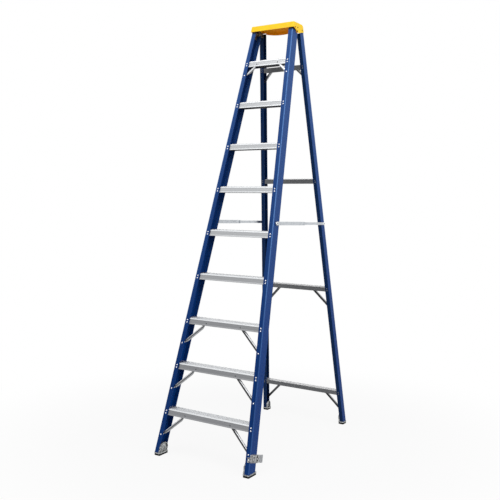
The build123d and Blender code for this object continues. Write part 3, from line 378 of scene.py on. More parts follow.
@dataclass(frozen=True)
class DrawnAluminium(Finish):
    """Mill-finish aluminium, extruded, drawn or headed. The eye sees a soft grey metal with fine die
    lines along X, in tones that follow the way a face looks: painted light above, painted shade below.

    Args:
        tones: sRGB hex colours of painted light and shade, from the faces that look down, at 0, to those
            that look up, at 1.
        die_line: width of a die line in mm; a real one is 0.3 mm, drawn coarser so that it shows.
        run: length over which a die line changes, in mm.
    """

    tones: Tones
    die_line: float = 2.4
    run: float = 500.0

    between = (0.25, 0.75)
    relief = 0.05
    shades: ClassVar[Span] = (0.88, 1.06)  # brightness of the dullest and the brightest die lines

    def tone(self, tree: Tree, place: Source, upward: Source) -> Node:
        """Give the metal's colour before its die lines.

        Args:
            tree: the material's node tree.
            place: Object coordinates, in metres.
            upward: how far a face looks up, from 0 to 1.

        Returns:
            The node with the colour.
        """
        return add(tree, "ShaderNodeValToRGB", {0: upward}, tones=self.tones)

    def shader(self, tree: Tree, place: Source) -> Inputs:
        """Give die lines along X over the metal's tones."""
        across = 1 / (self.die_line * MM)
        stretch = (1 / (self.run * MM), across, across)
        drawn = add(tree, "ShaderNodeMapping", {"Vector": place, "Scale": stretch})
        lines = add(
            tree, "ShaderNodeTexNoise", {"Vector": drawn, "Scale": 1.0, "Detail": 3.0, "Roughness": 0.65}
        )
        low, high = self.between
        dull, bright = self.shades
        shade = add(
            tree, "ShaderNodeMapRange",
            {"Value": lines, "From Min": low, "From Max": high, "To Min": dull, "To Max": bright},
        )
        # painted light and shade: the tones follow how far a face looks up
        upward = add(tree, "ShaderNodeMapRange", {"Value": facing(tree)[2], "From Min": -1.0})
        tone = self.tone(tree, place, upward)
        colour = add(tree, "ShaderNodeVectorMath", {0: tone, "Scale": shade}, operation="SCALE")
        return {"Base Color": colour, "Metallic": 1.0, **self.grained(tree, lines)}


@dataclass(frozen=True, kw_only=True)
class ScuffedAluminium(DrawnAluminium):
    """Extruded aluminium of the steps. The eye sees ribbed treads and front edges with a painted
    highlight, fronts with a painted reflection that brightens them up the ladder, and painted shade
    inside the upper steps.

    Args:
        foot: the tones at the foot of the ladder, where the painted reflection is weakest.
        first: distance up the rails to the first step's edge, in metres.
        pitch: distance between the steps, in metres.
        heights: heights between which the fronts go from the tones at the foot to the brighter ones, a
            painted reflection, in mm.
        painted_highlight: sRGB hex colour of the painted highlight on the front edges and treads.
        edge: width of the front edges with the painted highlight, in mm.
        rise: how far the treads rise along the rails, in mm.
        share: strength of the painted highlight on the treads' ribs, from 0 to 1.
        hollow: colour inside the upper steps: painted shade.
        behind: how far behind the rails' front faces the hollow begins, in mm.
    """

    foot: Tones
    first: float
    pitch: float
    heights: Span = (800.0, 1600.0)
    painted_highlight: str = "#e6e8ea"
    edge: float = 8.0
    rise: float = 24.0
    share: float = 0.6
    hollow: str = "#808183"
    behind: float = 20.0

    def tone(self, tree: Tree, place: Source, upward: Source) -> Node:
        """Give the metal's colour: painted reflection up the ladder, painted highlights and painted
        shade inside.
        """
        # painted reflection: the fronts go from the tones at the foot to the brighter ones up the ladder
        height = add(tree, "ShaderNodeSeparateXYZ", {0: place}).outputs[2]
        low, high = [level * MM for level in self.heights]
        clean = add(tree, "ShaderNodeMapRange", {"Value": height, "From Min": low, "From Max": high})
        _, back, climb = off_rails(tree, place, self.first)
        # painted highlight on the treads and on the front edge of each step
        edge = self.edge * MM
        up = add(tree, "ShaderNodeMath", {0: climb, 1: self.pitch}, operation="FLOORED_MODULO")
        below = add(tree, "ShaderNodeMath", {0: up, 1: self.pitch - edge}, operation="GREATER_THAN")
        near = add(tree, "ShaderNodeMath", {0: back, 1: edge}, operation="LESS_THAN")
        on_edge = add(tree, "ShaderNodeMath", {0: below, 1: near}, operation="MULTIPLY")
        on_tread = add(tree, "ShaderNodeMath", {0: up, 1: self.rise * MM}, operation="LESS_THAN")
        painted_highlight = add(
            tree, "ShaderNodeMath", {0: on_tread, 1: self.share, 2: on_edge}, operation="MULTIPLY_ADD"
        )
        # painted shade on the faces inside the upper steps
        forward = add(tree, "ShaderNodeMath", {0: facing(tree)[1], 1: FORWARD}, operation="LESS_THAN")
        behind = add(tree, "ShaderNodeMath", {0: back, 1: self.behind * MM}, operation="GREATER_THAN")
        inner = add(tree, "ShaderNodeMath", {0: forward, 1: behind}, operation="MULTIPLY")
        hollow = add(tree, "ShaderNodeMath", {0: inner, 1: clean}, operation="MULTIPLY")
        colour = add(tree, "ShaderNodeValToRGB", {0: upward}, tones=self.foot)
        bright = add(tree, "ShaderNodeValToRGB", {0: upward}, tones=self.tones)
        layers = ((clean, bright), (painted_highlight, linear(self.painted_highlight)), (hollow, linear(self.hollow)))
        for share, over in layers:
            layer = {"Factor": share, UNDER: colour, OVER: over}
            colour = add(tree, "ShaderNodeMix", layer, data_type="RGBA")
        return colour


@dataclass(frozen=True, kw_only=True)
class HeadedAluminium(DrawnAluminium):
    """Cold-headed aluminium rivets. The eye sees bright heads on the rails, and dull ones on the steps,
    which lie behind the rails' front faces.

    Args:
        dull: the tones of the rivets on the steps.
        behind: how far behind the rails' front faces the dull rivets begin, in mm.
    """

    dull: Tones
    behind: float = 1.2

    def tone(self, tree: Tree, place: Source, upward: Source) -> Node:
        """Give the metal's colour, duller behind the rails' front faces."""
        back = off_rails(tree, place)[1]
        on_step = add(tree, "ShaderNodeMath", {0: back, 1: self.behind * MM}, operation="GREATER_THAN")
        bright = add(tree, "ShaderNodeValToRGB", {0: upward}, tones=self.tones)
        dull = add(tree, "ShaderNodeValToRGB", {0: upward}, tones=self.dull)
        layer = {"Factor": on_step, UNDER: bright, OVER: dull}
        return add(tree, "ShaderNodeMix", layer, data_type="RGBA")


@dataclass(frozen=True)
class Patched(Finish):
    """A surface whose grain shows as patches of two colours.

    Args:
        low: sRGB hex colour where the grain is low.
        high: colour where it is high.
        patch: size of a patch, in mm.
    """

    low: str
    high: str
    patch: float

    ragged: ClassVar[float] = 0.6  # roughness of the patches' outlines
    fixed: ClassVar[Inputs] = {"Metallic": 1.0}  # the shader's other values

    def shader(self, tree: Tree, place: Source) -> Inputs:
        """Give the patches and their grain."""
        fine = {"Scale": 1 / (self.patch * MM), "Detail": 4.0, "Roughness": self.ragged}
        patches = add(tree, "ShaderNodeTexNoise", {"Vector": place, **fine})
        colour = self.mottled(tree, patches, self.low, self.high)
        return {"Base Color": colour, **self.fixed, **self.grained(tree, patches)}


@dataclass(frozen=True)
class CastAluminium(Patched):
    """Sand-cast aluminium, tumbled. The eye sees a silver skin with a coarse grain and darker pits."""

    between = (0.4, 0.62)
    spread = (0.15, -0.1)
    strength = 0.4
    relief = 0.25
    ragged = 0.62


@dataclass(frozen=True)
class MouldedRubber(Patched):
    """Moulded black rubber. The eye sees a matt black, greyed by dirt in its pores."""

    between = (0.5, 0.8)
    blend = "LINEAR"
    spread = None
    strength = 0.35
    relief = 0.2
    ragged = 0.7
    fixed = {"Specular IOR Level": 0.15}


@dataclass(frozen=True)
class OxidisedSteel(Patched):
    """Steel with a dark chemical finish. The eye sees a dark metal, browner where the finish is thin."""

    between = (0.42, 0.7)
    spread = (-0.1, 0.15)


@dataclass(frozen=True)
class ZincPlate(Finish):
    """Pressed steel, zinc plated. The eye sees a bright cold metal broken up by faint spangles.

    Args:
        colour: sRGB hex colour of the plating.
        dull: colour of the duller spangles.
        spangle: size of a spangle, in mm.
        rub: size of the abraded patches, in mm.
    """

    colour: str
    dull: str
    spangle: float = 7.0
    rub: float = 45.0

    spread = (-0.06, 0.2)
    strength = 0.15
    relief = 0.3

    def shader(self, tree: Tree, place: Source) -> Inputs:
        """Give the spangles and the abraded patches."""
        spangles = add(tree, "ShaderNodeTexVoronoi", {"Vector": place, "Scale": 1 / (self.spangle * MM)})
        tone = add(tree, "ShaderNodeSeparateXYZ", {0: spangles.outputs["Color"]})
        patches = add(
            tree, "ShaderNodeTexNoise", {"Vector": place, "Scale": 1 / (self.rub * MM), "Detail": 3.0}
        )
        share = add(tree, "ShaderNodeMath", {0: tone, 1: patches}, operation="MULTIPLY")
        colours = {UNDER: linear(self.colour), OVER: linear(self.dull)}
        colour = add(tree, "ShaderNodeMix", {"Factor": share, **colours}, data_type="RGBA")
        return {"Base Color": colour, "Metallic": 1.0, **self.grained(tree, share, patches)}


@dataclass(frozen=True)
class MouldedPlastic(Finish):
    """Injection-moulded plastic with an etched tool finish. The eye sees an even colour with a fine
    grain, a slight cloudiness where the melt flowed, and painted shade on the faces that look down and
    on the upright faces that look forward, which lie inside the hollow.

    Args:
        colour: sRGB hex colour of the pigment.
        cloud: colour of the cloudier flow.
        under: colour of the painted shade on the faces that look down and inside the hollow.
        grain: size of the etched grain in mm; a real one is 0.5 mm, drawn coarser so that it shows.
        flow: size of the clouds, in mm.
    """

    colour: str
    cloud: str
    under: str
    grain: float = 1.3
    flow: float = 60.0

    between = (0.35, 0.7)
    strength = 0.3
    relief = 0.12
    down: ClassVar[Span] = (-0.25, -0.75)  # upward share of a normal, from the sides to the undersides

    def shader(self, tree: Tree, place: Source) -> Inputs:
        """Give the clouds, the painted shade of the hollow and the etched grain."""
        flow, etched = [
            add(tree, "ShaderNodeTexNoise", {"Vector": place, "Scale": scale, "Detail": detail})
            for scale, detail in ((1 / (self.flow * MM), 2.0), (1 / (self.grain * MM), 3.0))
        ]
        # painted shade on the faces that look down, and on the upright faces that look forward inside
        # the hollow
        _, back, upward = facing(tree)
        low, high = self.down
        downward = add(
            tree, "ShaderNodeMapRange", {"Value": upward, "From Min": low, "From Max": high},
            interpolation_type=self.blend,
        )
        forward = add(tree, "ShaderNodeMath", {0: back, 1: FORWARD}, operation="LESS_THAN")
        upright = add(tree, "ShaderNodeMath", {0: upward, 1: UPRIGHT}, operation="LESS_THAN")
        hollow = add(
            tree, "ShaderNodeMath", {0: forward, 1: upright, 2: downward},
            operation="MULTIPLY_ADD", use_clamp=True,
        )
        colours = {UNDER: self.mottled(tree, flow, self.colour, self.cloud), OVER: linear(self.under)}
        colour = add(tree, "ShaderNodeMix", {"Factor": hollow, **colours}, data_type="RGBA")
        return {"Base Color": colour, "Specular IOR Level": 0.3, **self.grained(tree, etched)}


@dataclass(frozen=True)
class HeadedStud(Finish):
    """Turned steel stud, zinc plated. The eye sees a bright head round a dark middle, painted shade of
    its bore.

    Args:
        axis: Y and Z of the stud's axis, in metres.
        colour: sRGB hex colour of the plating.
        bore_shade: colour of the middle: painted shade of the bore.
        bore: radius of the dark middle, in mm.
        ring: width of a turning mark in mm; a real one is 0.2 mm, drawn coarser so that it shows.
    """

    axis: Span
    colour: str = "#e6e8ea"
    bore_shade: str = "#3a3a3c"
    bore: float = 4.6
    ring: float = 1.2

    rim: ClassVar[Span] = (1.1, 0.9)  # distance in radii of the bore, from plated to painted bore shade

    def shader(self, tree: Tree, place: Source) -> Inputs:
        """Give turning marks round the axis and a dark middle of painted shade."""
        y, z = self.axis
        flat = {"Location": (0.0, -y, -z), "Scale": (0.0, 1.0, 1.0)}
        centred = add(tree, "ShaderNodeMapping", {"Vector": place, **flat})
        # painted shade of the bore in the middle
        out = add(tree, "ShaderNodeVectorMath", {0: centred}, operation="LENGTH")
        low, high = [radii * (self.bore * MM) for radii in self.rim]
        inside = add(tree, "ShaderNodeMapRange", {"Value": out, "From Min": low, "From Max": high})
        colours = {UNDER: linear(self.colour), OVER: linear(self.bore_shade)}
        colour = add(tree, "ShaderNodeMix", {"Factor": inside, **colours}, data_type="RGBA")
        rings = add(
            tree, "ShaderNodeTexNoise", {"W": out, "Scale": 1 / (self.ring * MM), "Detail": 2.0},
            noise_dimensions="1D",
        )
        return {"Base Color": colour, "Metallic": 1.0, **self.grained(tree, rings)}


class Finishes:
    """The ladder's finishes, each made once."""

    def __init__(self) -> None:
        """List the finishes of the slots that look the same on every node."""
        self.made: dict[str, Material] = {}
        self.plain: dict[Slot, Finish] = {
            # each plastic's under colour is painted shade
            Slot.CAP: MouldedPlastic(
                "moulded_polypropylene_yellow", roughness=0.42,
                colour="#fbcf18", cloud="#f6c612", under="#ffa808",
            ),
            Slot.SHOE: CastAluminium(
                "cast_aluminium_shoe", roughness=0.42, low="#5c5e5f", high="#c4c6c6", patch=9.0
            ),
            Slot.PAD: MouldedRubber(
                "moulded_rubber_black", roughness=0.85, low="#0b0b0c", high="#2a2927", patch=1.6
            ),
            Slot.BLOCK: MouldedPlastic(
                "moulded_nylon_grey", roughness=0.5,
                colour="#b4b6b9", cloud="#9fa1a4", under="#6d6f72", flow=12.0,
            ),
            Slot.PLATE: OxidisedSteel(
                "phosphated_steel_plate", roughness=0.5, low="#655e54", high="#8c8172", patch=14.0
            ),
            Slot.BOLT: OxidisedSteel(
                "blackened_steel_bolt", roughness=0.4, low="#232324", high="#5a5046", patch=6.0
            ),
            Slot.BUSH: MouldedPlastic(
                "moulded_nylon_natural", roughness=0.45,
                colour="#d8d3c4", cloud="#ccc6b4", under="#b5ae9c", flow=15.0,
            ),
            Slot.ZINC: ZincPlate(
                "zinc_plated_pressed_steel", roughness=0.32, colour="#ced2d6", dull="#969ba1"
            ),
        }

    def of(self, slot: Slot) -> Material:
        """Give the material of a slot that looks the same on every node."""
        return self.make(self.plain[slot])

    def make(self, finish: Finish) -> Material:
        """Make a finish's material, or give the one already made."""
        if finish.name not in self.made:
            self.made[finish.name] = finish.material()
        return self.made[finish.name]


def dress(node: str, material: Material) -> None:
    """Put a material on a CAD node.

    Args:
        node: the node's name.
        material: its finish.
    """
    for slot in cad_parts[node].material_slots:
        slot.material = material
    LOG.info("dressed %s in %s", node, material.name)


@dataclass
class Rails:
    """The four fibreglass rails.

    Args:
        front_splay: splay of the front rails, in degrees.
        rear_splay: splay of the rear rails, in degrees.
        roughness: mean roughness of the resin.
    """

    front_splay: float = 3.947
    rear_splay: float = 3.747
    roughness: float = 0.42

    def dress(self, finishes: Finishes) -> None:
        """Dress each rail with streaks along its own length."""
        ends = (("front", FRONT_LEAN, self.front_splay), ("rear", -REAR_LEAN, self.rear_splay))
        for end, lean, splay in ends:
            for side in Side:
                node = f"{end}_rail_{side.word}"
                low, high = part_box(node)
                # the outer edge that takes the painted highlight
                corner = Vector((
                    low.x if side is Side.LEFT else high.x, low.y if end == "front" else high.y, low.z
                ))
                finish = PultrudedFibreglass(
                    f"pultruded_fibreglass_{end}_{side.word}", self.roughness, corner,
                    lean=lean, splay=math.radians(side.value * splay),
                )
                dress(node, finishes.make(finish))


@dataclass
class Treads:
    """The steps and the rear braces, with raised teeth along their ribs.

    Args:
        steps: number of steps.
        braces: number of rear braces.
        apron: height of a step's front apron, in mm.
        depth: depth of a step along the rails' flanges, in mm.
        rib_margin: first rib's distance from the front of a step, in mm.
        step_ribs: number of ribs on a step.
        rib_height: height of a step's ribs, in mm.
        brace_ribs: number of ribs on a rear brace.
        brace_depth: depth of a rear brace, in mm.
        brace_height: height of a rear brace with its ribs, in mm.
        pitch: distance between teeth along a rib, in mm.
        tooth: length, width and height of a tooth, in mm.
        taper: size of a tooth's top as a share of its foot.
        sunk: how far a tooth's foot is sunk into its rib, in mm.
        end_margin: room without teeth at each end, in mm.
        flange: thickness of the front rails' flanges, in mm.
        step_pitch: distance between the steps along the rails, in mm.
        roughness: mean roughness of the steps.
        clean: tones of the upper steps by the way a face looks: painted light and shade.
        lower_shade: tones of the lowest step by the way a face looks: darker painted light and shade.
        brace_finish: the finish of the rear braces.
    """

    steps: int = 9
    braces: int = 4
    apron: float = 41.0
    depth: float = 67.0
    rib_margin: float = 7.0
    step_ribs: int = 8
    rib_height: float = 1.5
    brace_ribs: int = 4
    brace_depth: float = 40.0
    brace_height: float = 32.2
    pitch: float = 27.0
    tooth: Point = (13.0, 3.0, 1.3)
    taper: float = 0.62
    sunk: float = 0.3
    end_margin: float = 12.0
    flange: float = 4.0
    step_pitch: float = 305.0
    roughness: float = 0.42
    # tones of painted light and shade by the way a face looks, for the upper steps
    clean: Tones = (
        (0.0, "#505153"), (0.2, "#5c5d5f"), (0.33, "#a8aaad"), (0.45, "#b4b6b9"),
        (0.6, "#b9bbbd"), (0.66, "#bbbdbf"), (0.74, "#d0d2d4"), (0.8, "#fafbfc"),
    )
    # the same for the lowest step, darker: painted shade
    lower_shade: Tones = (
        (0.0, "#505153"), (0.2, "#5c5d5f"), (0.33, "#7c7d80"), (0.45, "#808184"),
        (0.6, "#8b8c8f"), (0.66, "#8d8e91"), (0.74, "#97989b"), (0.8, "#fafbfc"),
    )
    # tones of painted light and shade by the way a face looks
    brace_finish: Finish = DrawnAluminium("extruded_aluminium_brace", roughness=0.45, tones=(
        (0.0, "#3c3d3f"), (0.4, "#666769"), (0.5, "#6c6d70"), (0.6, "#c4c5c7"), (0.9, "#ffffff"),
    ))

    def line(self, middle: Vector, end: float, rib: int) -> Line:
        """Give a row of teeth along X, centred, with every other row half a pitch over.

        Args:
            middle: middle of the rib's top, in metres.
            end: X of the tread's end, in metres.
            rib: the rib's number.

        Returns:
            The first and the last tooth's place.
        """
        count = int(2 * (end - self.end_margin * MM) / (self.pitch * MM)) - rib % 2
        reach = Vector((count * self.pitch * MM / 2, 0.0, 0.0))
        return middle - reach, middle + reach

    def step_lines(self) -> list[Line]:
        """Give the rows of teeth on the steps, which are level on the open ladder."""
        spacing = (self.depth - 2 * self.rib_margin) / (self.step_ribs - 1)
        lines = []
        for number in range(1, self.steps + 1):
            low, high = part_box(f"step_{number}")
            start = low.y + (self.apron + self.rib_height) * MM * math.sin(FRONT_LEAN)
            for rib in range(self.step_ribs):
                y = start + (self.rib_margin + rib * spacing) * MM / math.cos(FRONT_LEAN)
                middle = Vector((0.0, y, high.z - self.sunk * MM))
                lines.append(self.line(middle, high.x, rib))
        return lines

    def brace_lines(self) -> list[Line]:
        """Give the rows of teeth on the rear braces, which lean with the rear rails."""
        back = Vector((0.0, math.cos(REAR_LEAN), math.sin(REAR_LEAN)))
        up = Vector((0.0, -math.sin(REAR_LEAN), math.cos(REAR_LEAN)))
        spacing = self.brace_depth / self.brace_ribs
        top = self.brace_height / 2 - self.sunk
        lines = []
        for number in range(1, self.braces + 1):
            low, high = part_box(f"rear_brace_{number}")
            for rib in range(self.brace_ribs):
                place = (rib + 0.5) * spacing - self.brace_depth / 2
                middle = (low + high) / 2 + back * place * MM + up * top * MM
                lines.append(self.line(middle, high.x, rib))
        return lines

    def tree(self) -> Tree:
        """Make the node tree that sets a tapered tooth at every pitch along each edge."""
        tree = bpy.data.node_groups.new("teeth_along_ribs", "GeometryNodeTree")
        for name, kind in (
            ("Geometry", "Geometry"), ("Pitch", "Float"), ("Tooth", "Vector"),
            ("Taper", "Float"), ("Lean", "Float"), ("Finish", "Material"),
        ):
            tree.interface.new_socket(name, in_out="INPUT", socket_type=f"NodeSocket{kind}")
        tree.interface.new_socket("Geometry", in_out="OUTPUT", socket_type="NodeSocketGeometry")
        given = add(tree, "NodeGroupInput").outputs
        rib = add(tree, "GeometryNodeMeshToCurve", {"Mesh": given["Geometry"]})
        places = add(
            tree, "GeometryNodeResampleCurve", {"Curve": rib, "Length": given["Pitch"]}, mode="LENGTH"
        )
        corner = math.sqrt(0.5)
        top = add(tree, "ShaderNodeMath", {0: given["Taper"], 1: corner}, operation="MULTIPLY")
        point = add(
            tree, "GeometryNodeMeshCone",
            {"Vertices": 4, "Radius Top": top, "Radius Bottom": corner, "Depth": 1.0},
        )
        eighth_turn = (0.0, 0.0, math.radians(45.0))
        square = add(tree, "GeometryNodeTransform", {"Geometry": point, "Rotation": eighth_turn})
        tooth = add(tree, "GeometryNodeTransform", {"Geometry": square, "Scale": given["Tooth"]})
        turn = add(tree, "ShaderNodeCombineXYZ", {"X": given["Lean"]})
        lean = add(tree, "FunctionNodeEulerToRotation", {0: turn})
        teeth = add(
            tree, "GeometryNodeInstanceOnPoints", {"Points": places, "Instance": tooth, "Rotation": lean}
        )
        real = add(tree, "GeometryNodeRealizeInstances", {0: teeth})
        done = add(tree, "GeometryNodeSetMaterial", {"Geometry": real, "Material": given["Finish"]})
        add(tree, "NodeGroupOutput", {0: done})
        return tree

    def teeth(
        self, name: str, lines: list[Line], body: str, tree: Tree, material: Material, lean: float = 0.0
    ) -> bpy.types.Object:
        """Make one body's teeth as a plain mesh.

        Args:
            name: the piece's name.
            lines: rows of teeth.
            body: the CAD body that the piece rides on.
            tree: the node tree of the teeth.
            material: their finish.
            lean: their lean about X, in radians.

        Returns:
            The piece.
        """
        rows = bpy.data.meshes.new(f"{name}_rows")
        ends = [end for line in lines for end in line]
        rows.from_pydata(ends, [(2 * row, 2 * row + 1) for row in range(len(lines))], [])
        source = new_object(f"{name}_rows", rows)
        modifier = source.modifiers.new("teeth", "NODES")
        modifier.node_group = tree
        values = {
            "Pitch": self.pitch * MM, "Tooth": [size * MM for size in self.tooth],
            "Taper": self.taper, "Lean": lean, "Finish": material,
        }
        for item in tree.interface.items_tree:
            if item.in_out == "INPUT" and item.name in values:
                modifier[item.identifier] = values[item.name]
        shown = source.evaluated_get(bpy.context.evaluated_depsgraph_get())
        piece = new_object(name, bpy.data.meshes.new_from_object(shown))
        piece.data.name = name
        source.modifiers.remove(modifier)
        bpy.data.objects.remove(source)
        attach(piece, body)
        LOG.info("made %s: %d faces on %s", name, len(piece.data.polygons), body)
        return piece

    def dress(self, finishes: Finishes) -> None:
        """Dress the steps and the rear braces, and set their teeth."""
        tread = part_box("step_1")[1].z - self.rib_height * MM
        edge = tread + self.flange * MM * math.sin(FRONT_LEAN)
        step = finishes.make(ScuffedAluminium(
            "extruded_aluminium_step", self.roughness, self.clean, foot=self.lower_shade,
            first=edge / math.cos(FRONT_LEAN), pitch=self.step_pitch * MM,
        ))
        brace = finishes.make(self.brace_finish)
        for number in range(1, self.steps + 1):
            dress(f"step_{number}", step)
        for number in range(1, self.braces + 1):
            dress(f"rear_brace_{number}", brace)
        tree = self.tree()
        steps = self.teeth("step_teeth", self.step_lines(), "front_frame", tree, step)
        braces = self.teeth("rear_brace_teeth", self.brace_lines(), "rear_frame", tree, brace, REAR_LEAN)


@dataclass
class Braces:
    """The knee braces of the steps and the diagonals of the rear braces.

    Args:
        knee_steps: steps with long knee braces.
        short_step: the step with short knee braces, out of reach of boots.
        diagonal_braces: rear braces with long diagonals.
        short_brace: the rear brace with short diagonals.
        left_knee: finish of the long knee braces on the left, with its own painted light and shade.
        right_knee: finish of those on the right, with darker painted shade and a painted highlight
            above.
        short_knee: finish of the short knee braces.
        diagonal: finish of the long diagonals.
        short_diagonal: finish of the short diagonals.
    """

    knee_steps: tuple[int, ...] = (1, 2, 3)
    short_step: int = 9
    diagonal_braces: tuple[int, ...] = (1, 2)
    short_brace: int = 4
    # tones of painted light and shade by the way a face looks; the left and the right knees carry
    # different painted light
    left_knee: Finish = DrawnAluminium("pressed_aluminium_knee_left", roughness=0.36, tones=(
        (0.0, "#8a8b8d"), (0.25, "#a6a7a9"), (0.42, "#6a6b6d"), (0.58, "#4e4f51"),
        (0.66, "#8c8d8f"), (0.74, "#f2f3f4"), (1.0, "#ffffff"),
    ))
    right_knee: Finish = DrawnAluminium("pressed_aluminium_knee_right", roughness=0.36, tones=(
        (0.0, "#5a5b5d"), (0.5, "#4c4d4f"), (0.66, "#404143"), (0.8, "#4c4d4f"), (0.86, "#e4e5e7"),
        (1.0, "#ffffff"),
    ))
    short_knee: Finish = DrawnAluminium("pressed_aluminium_short_knee", roughness=0.36, tones=(
        (0.0, "#6a6b6d"), (0.3, "#8a8b8d"), (0.45, "#d8dadc"), (0.7, "#f0f1f3"), (1.0, "#f4f5f6"),
    ))
    diagonal: Finish = DrawnAluminium("pressed_aluminium_diagonal", roughness=0.4, tones=(
        (0.0, "#3e3f41"), (0.45, "#58595b"), (0.6, "#747577"), (0.85, "#acadaf"), (1.0, "#c8c9cb"),
    ))
    short_diagonal: Finish = DrawnAluminium("pressed_aluminium_short_diagonal", roughness=0.4, tones=(
        (0.0, "#77787a"), (0.45, "#a4a5a7"), (0.6, "#b8b9bb"), (0.85, "#d4d5d7"), (1.0, "#e4e5e7"),
    ))

    def dress(self, finishes: Finishes) -> None:
        """Dress the knee braces, then the diagonals."""
        knees = {Side.LEFT: self.left_knee, Side.RIGHT: self.right_knee}
        for side in Side:
            for number in self.knee_steps:
                dress(f"knee_brace_{number}_{side.word}", finishes.make(knees[side]))
            dress(f"knee_brace_{self.short_step}_{side.word}", finishes.make(self.short_knee))
            for number in self.diagonal_braces:
                dress(f"rear_diagonal_{number}_{side.word}", finishes.make(self.diagonal))
            dress(f"rear_diagonal_{self.short_brace}_{side.word}", finishes.make(self.short_diagonal))


@dataclass
class Fasteners:
    """The rivets, the bolts and the spreaders' studs.

    Args:
        front: finish of the rivets on the front frame, bright on the rails and dull on the steps.
        rear: finish of the rivets on the rear frame.
        roughness: mean roughness of the studs.
    """

    # tones of painted light and shade by the way a face looks
    front: Finish = HeadedAluminium(
        "headed_aluminium_front_rivet", roughness=0.3,
        tones=((0.0, "#b0b2b5"), (0.4, "#d4d6d9"), (1.0, "#eceef0")),
        dull=((0.0, "#2a2b2d"), (0.5, "#3a3b3d"), (1.0, "#7c7e80")),
    )
    rear: Finish = DrawnAluminium(
        "headed_aluminium_rear_rivet", roughness=0.4,
        tones=((0.0, "#3f434b"), (0.5, "#565b65"), (1.0, "#8a8f98")),
    )
    roughness: float = 0.3

    def dress(self, finishes: Finishes) -> None:
        """Dress the rivets, the studs and the bolts."""
        dress("front_rivets", finishes.make(self.front))
        dress("rear_rivets", finishes.make(self.rear))
        for end in ("front", "rear"):
            node = f"spreader_{end}_studs"
            middle = sum(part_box(node), Vector()) / 2
            stud = HeadedStud(f"turned_steel_{end}_stud", self.roughness, (middle.y, middle.z))
            dress(node, finishes.make(stud))
        for node in ("small_bolts", "top_nuts", "hinge_bolts"):
            dress(node, finishes.of(Slot.BOLT))


@dataclass
class Fittings:
    """The cap, the hinge, the spreaders, the keeper and the feet.

    Args:
        keeper_finish: the keeper's tarnished plating, with patches that are still bright.
    """

    keeper_finish: Finish = ZincPlate(
        "worn_zinc_plated_steel", roughness=0.36, colour="#4c4d51", dull="#ffffff", spangle=9.0, rub=16.0
    )

    def dress(self, finishes: Finishes) -> None:
        """Dress the single pieces, then the pairs."""
        dress("keeper", finishes.make(self.keeper_finish))
        singles = {"top_cap": Slot.CAP, "keeper_block": Slot.BLOCK, "hinge_bushes": Slot.BUSH}
        for node, slot in singles.items():
            dress(node, finishes.of(slot))
        pairs = {
            "hinge_plate": Slot.PLATE, "front_shoe": Slot.SHOE, "rear_shoe": Slot.SHOE,
            "front_pad": Slot.PAD, "rear_pad": Slot.PAD,
            "spreader_front_arm": Slot.ZINC, "spreader_rear_arm": Slot.ZINC,
            "lap_rivet_front": Slot.ZINC, "lap_rivet_rear": Slot.ZINC,
        }
        for name, slot in pairs.items():
            for side in Side:
                dress(f"{name}_{side.word}", finishes.of(slot))


@dataclass(frozen=True)
class SoftBox:
    """A large soft lamp.

    Args:
        name: the lamp's name.
        size: its width and height, in metres.
        place: its place, in metres.
        watts: its power.
        aim: the point that it faces, in metres.
    """

    name: str
    size: Span
    place: Point
    watts: float
    aim: Point = (0.0, 0.0, 1.3)

    def hang(self) -> None:
        """Hang the lamp."""
        lamp = bpy.data.lights.new(self.name, "AREA")
        lamp.shape = "RECTANGLE"
        lamp.size, lamp.size_y = self.size
        lamp.energy = self.watts
        box = new_object(self.name, lamp)
        turn = (Vector(self.aim) - Vector(self.place)).to_track_quat("-Z", "Y")
        box.matrix_world = Matrix.Translation(self.place) @ turn.to_matrix().to_4x4()


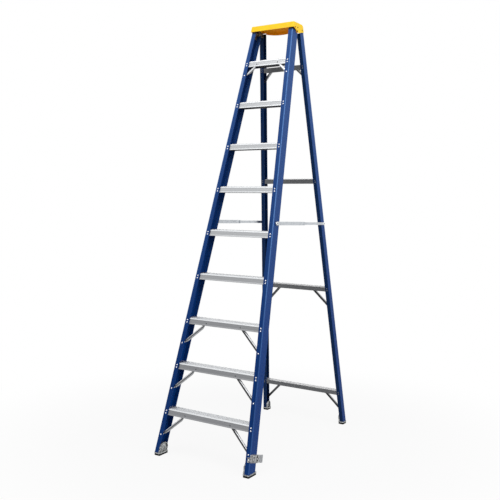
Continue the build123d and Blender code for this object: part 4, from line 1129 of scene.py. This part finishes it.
@dataclass
class Studio:
    """The floor, the light and the camera.

    Args:
        fill: strength of the even light from all round.
        boxes: the soft boxes.
        floor_half: half the floor's width, in metres.
        floor_colour: sRGB hex colour of the floor.
        white: linear colour of the background.
        glow: how much of the floor's look near the ladder is plain white.
        fade: distances from the ladder between which the floor fades into the background, in metres.
        eye: the camera's place, in metres.
        yaw: its turn to the left, in radians.
        pitch: its tilt up, in radians.
        roll: its turn about its axis, in radians.
        sensor: width of its sensor, in mm.
        focal: its focal length, in mm.
    """

    fill: float = 0.4
    boxes: tuple[SoftBox, ...] = (
        SoftBox("overhead_soft_box", size=(4.6, 3.8), place=(0.6, -2.0, 5.6), watts=150.0),
        SoftBox("side_soft_box", size=(4.0, 3.6), place=(5.4, -0.6, 3.0), watts=130.0),
    )
    floor_half: float = 60.0
    floor_colour: str = "#d4d4d4"
    white: Colour = (1.0, 1.0, 1.0, 1.0)
    glow: float = 0.9
    fade: Span = (0.9, 2.6)
    eye: Point = (2.6919, -4.31534, 1.6448)
    yaw: float = 0.57305
    pitch: float = -0.06145
    roll: float = 0.01501
    sensor: float = 36.0
    focal: float = 52.621128

    def seen(self, tree: Tree) -> Node:
        """Give 1 for rays from the camera, from gloss and through glass, and 0 for the rest."""
        path = add(tree, "ShaderNodeLightPath").outputs
        shown = path["Is Camera Ray"]
        for ray in ("Is Glossy Ray", "Is Transmission Ray"):
            shown = add(tree, "ShaderNodeMath", {0: shown, 1: path[ray]}, operation="MAXIMUM")
        return shown

    def world(self) -> None:
        """Light the ladder evenly from all round, and show a white background."""
        world = bpy.data.worlds.new("white_studio")
        world.use_nodes = True
        tree = world.node_tree
        tree.nodes.clear()
        strength = add(
            tree, "ShaderNodeMapRange", {"Value": self.seen(tree), "To Min": self.fill, "To Max": 1.0}
        )
        sky = add(tree, "ShaderNodeBackground", {"Color": self.white, "Strength": strength})
        add(tree, "ShaderNodeOutputWorld", {"Surface": sky})
        bpy.context.scene.world = world

    def floor(self) -> None:
        """Lay a pale floor that keeps the ladder's shadow and fades into the background."""
        mesh = bpy.data.meshes.new("floor")
        half = self.floor_half
        corners = [(-half, -half, 0.0), (half, -half, 0.0), (half, half, 0.0), (-half, half, 0.0)]
        mesh.from_pydata(corners, [], [(0, 1, 2, 3)])
        floor = new_object("floor", mesh)
        material = bpy.data.materials.new("pale_floor")
        material.use_nodes = True
        tree = material.node_tree
        tree.nodes.clear()
        place = add(tree, "ShaderNodeTexCoord").outputs["Object"]
        away = add(tree, "ShaderNodeVectorMath", {0: place}, operation="LENGTH")
        near, far = self.fade
        faded = add(
            tree, "ShaderNodeMapRange",
            {"Value": away, "From Min": near, "From Max": far, "To Min": self.glow},
            interpolation_type="SMOOTHSTEP",
        )
        share = add(tree, "ShaderNodeMath", {0: faded, 1: self.seen(tree)}, operation="MULTIPLY")
        matt = add(tree, "ShaderNodeBsdfDiffuse", {"Color": linear(self.floor_colour)})
        white = add(tree, "ShaderNodeEmission", {"Color": self.white, "Strength": 1.0})
        both = add(tree, "ShaderNodeMixShader", {0: share, 1: matt, 2: white})
        add(tree, "ShaderNodeOutputMaterial", {"Surface": both})
        mesh.materials.append(material)

    def camera(self) -> None:
        """Stand the camera where the photograph was taken."""
        lens = bpy.data.cameras.new("camera")
        lens.sensor_width = self.sensor
        lens.lens = self.focal
        ahead = Vector((-math.sin(self.yaw), math.cos(self.yaw), 0.0))
        across = Vector((math.cos(self.yaw), math.sin(self.yaw), 0.0))
        upright = Vector((0.0, 0.0, 1.0))
        forward = math.cos(self.pitch) * ahead + math.sin(self.pitch) * upright
        up = math.cos(self.pitch) * upright - math.sin(self.pitch) * ahead
        right = math.cos(self.roll) * across + math.sin(self.roll) * up
        up = math.cos(self.roll) * up - math.sin(self.roll) * across
        camera = new_object("camera", lens)
        turn = Matrix((right, up, -forward)).transposed()
        camera.matrix_world = Matrix.Translation(self.eye) @ turn.to_4x4()
        bpy.context.scene.camera = camera

    def build(self) -> None:
        """Set up the whole studio."""
        self.world()
        self.floor()
        for box in self.boxes:
            box.hang()
        self.camera()
        bpy.context.scene.view_settings.view_transform = "Standard"


def main() -> None:
    """Build and dress the ladder, piece by piece."""
    logging.basicConfig(level=logging.INFO, format="%(name)s: %(message)s")
    Studio().build()
    finishes = Finishes()
    for part in (Rails(), Treads(), Braces(), Fasteners(), Fittings()):
        part.dress(finishes)
        LOG.info("finished %s", type(part).__name__)


if __name__ == "__main__":
    main()
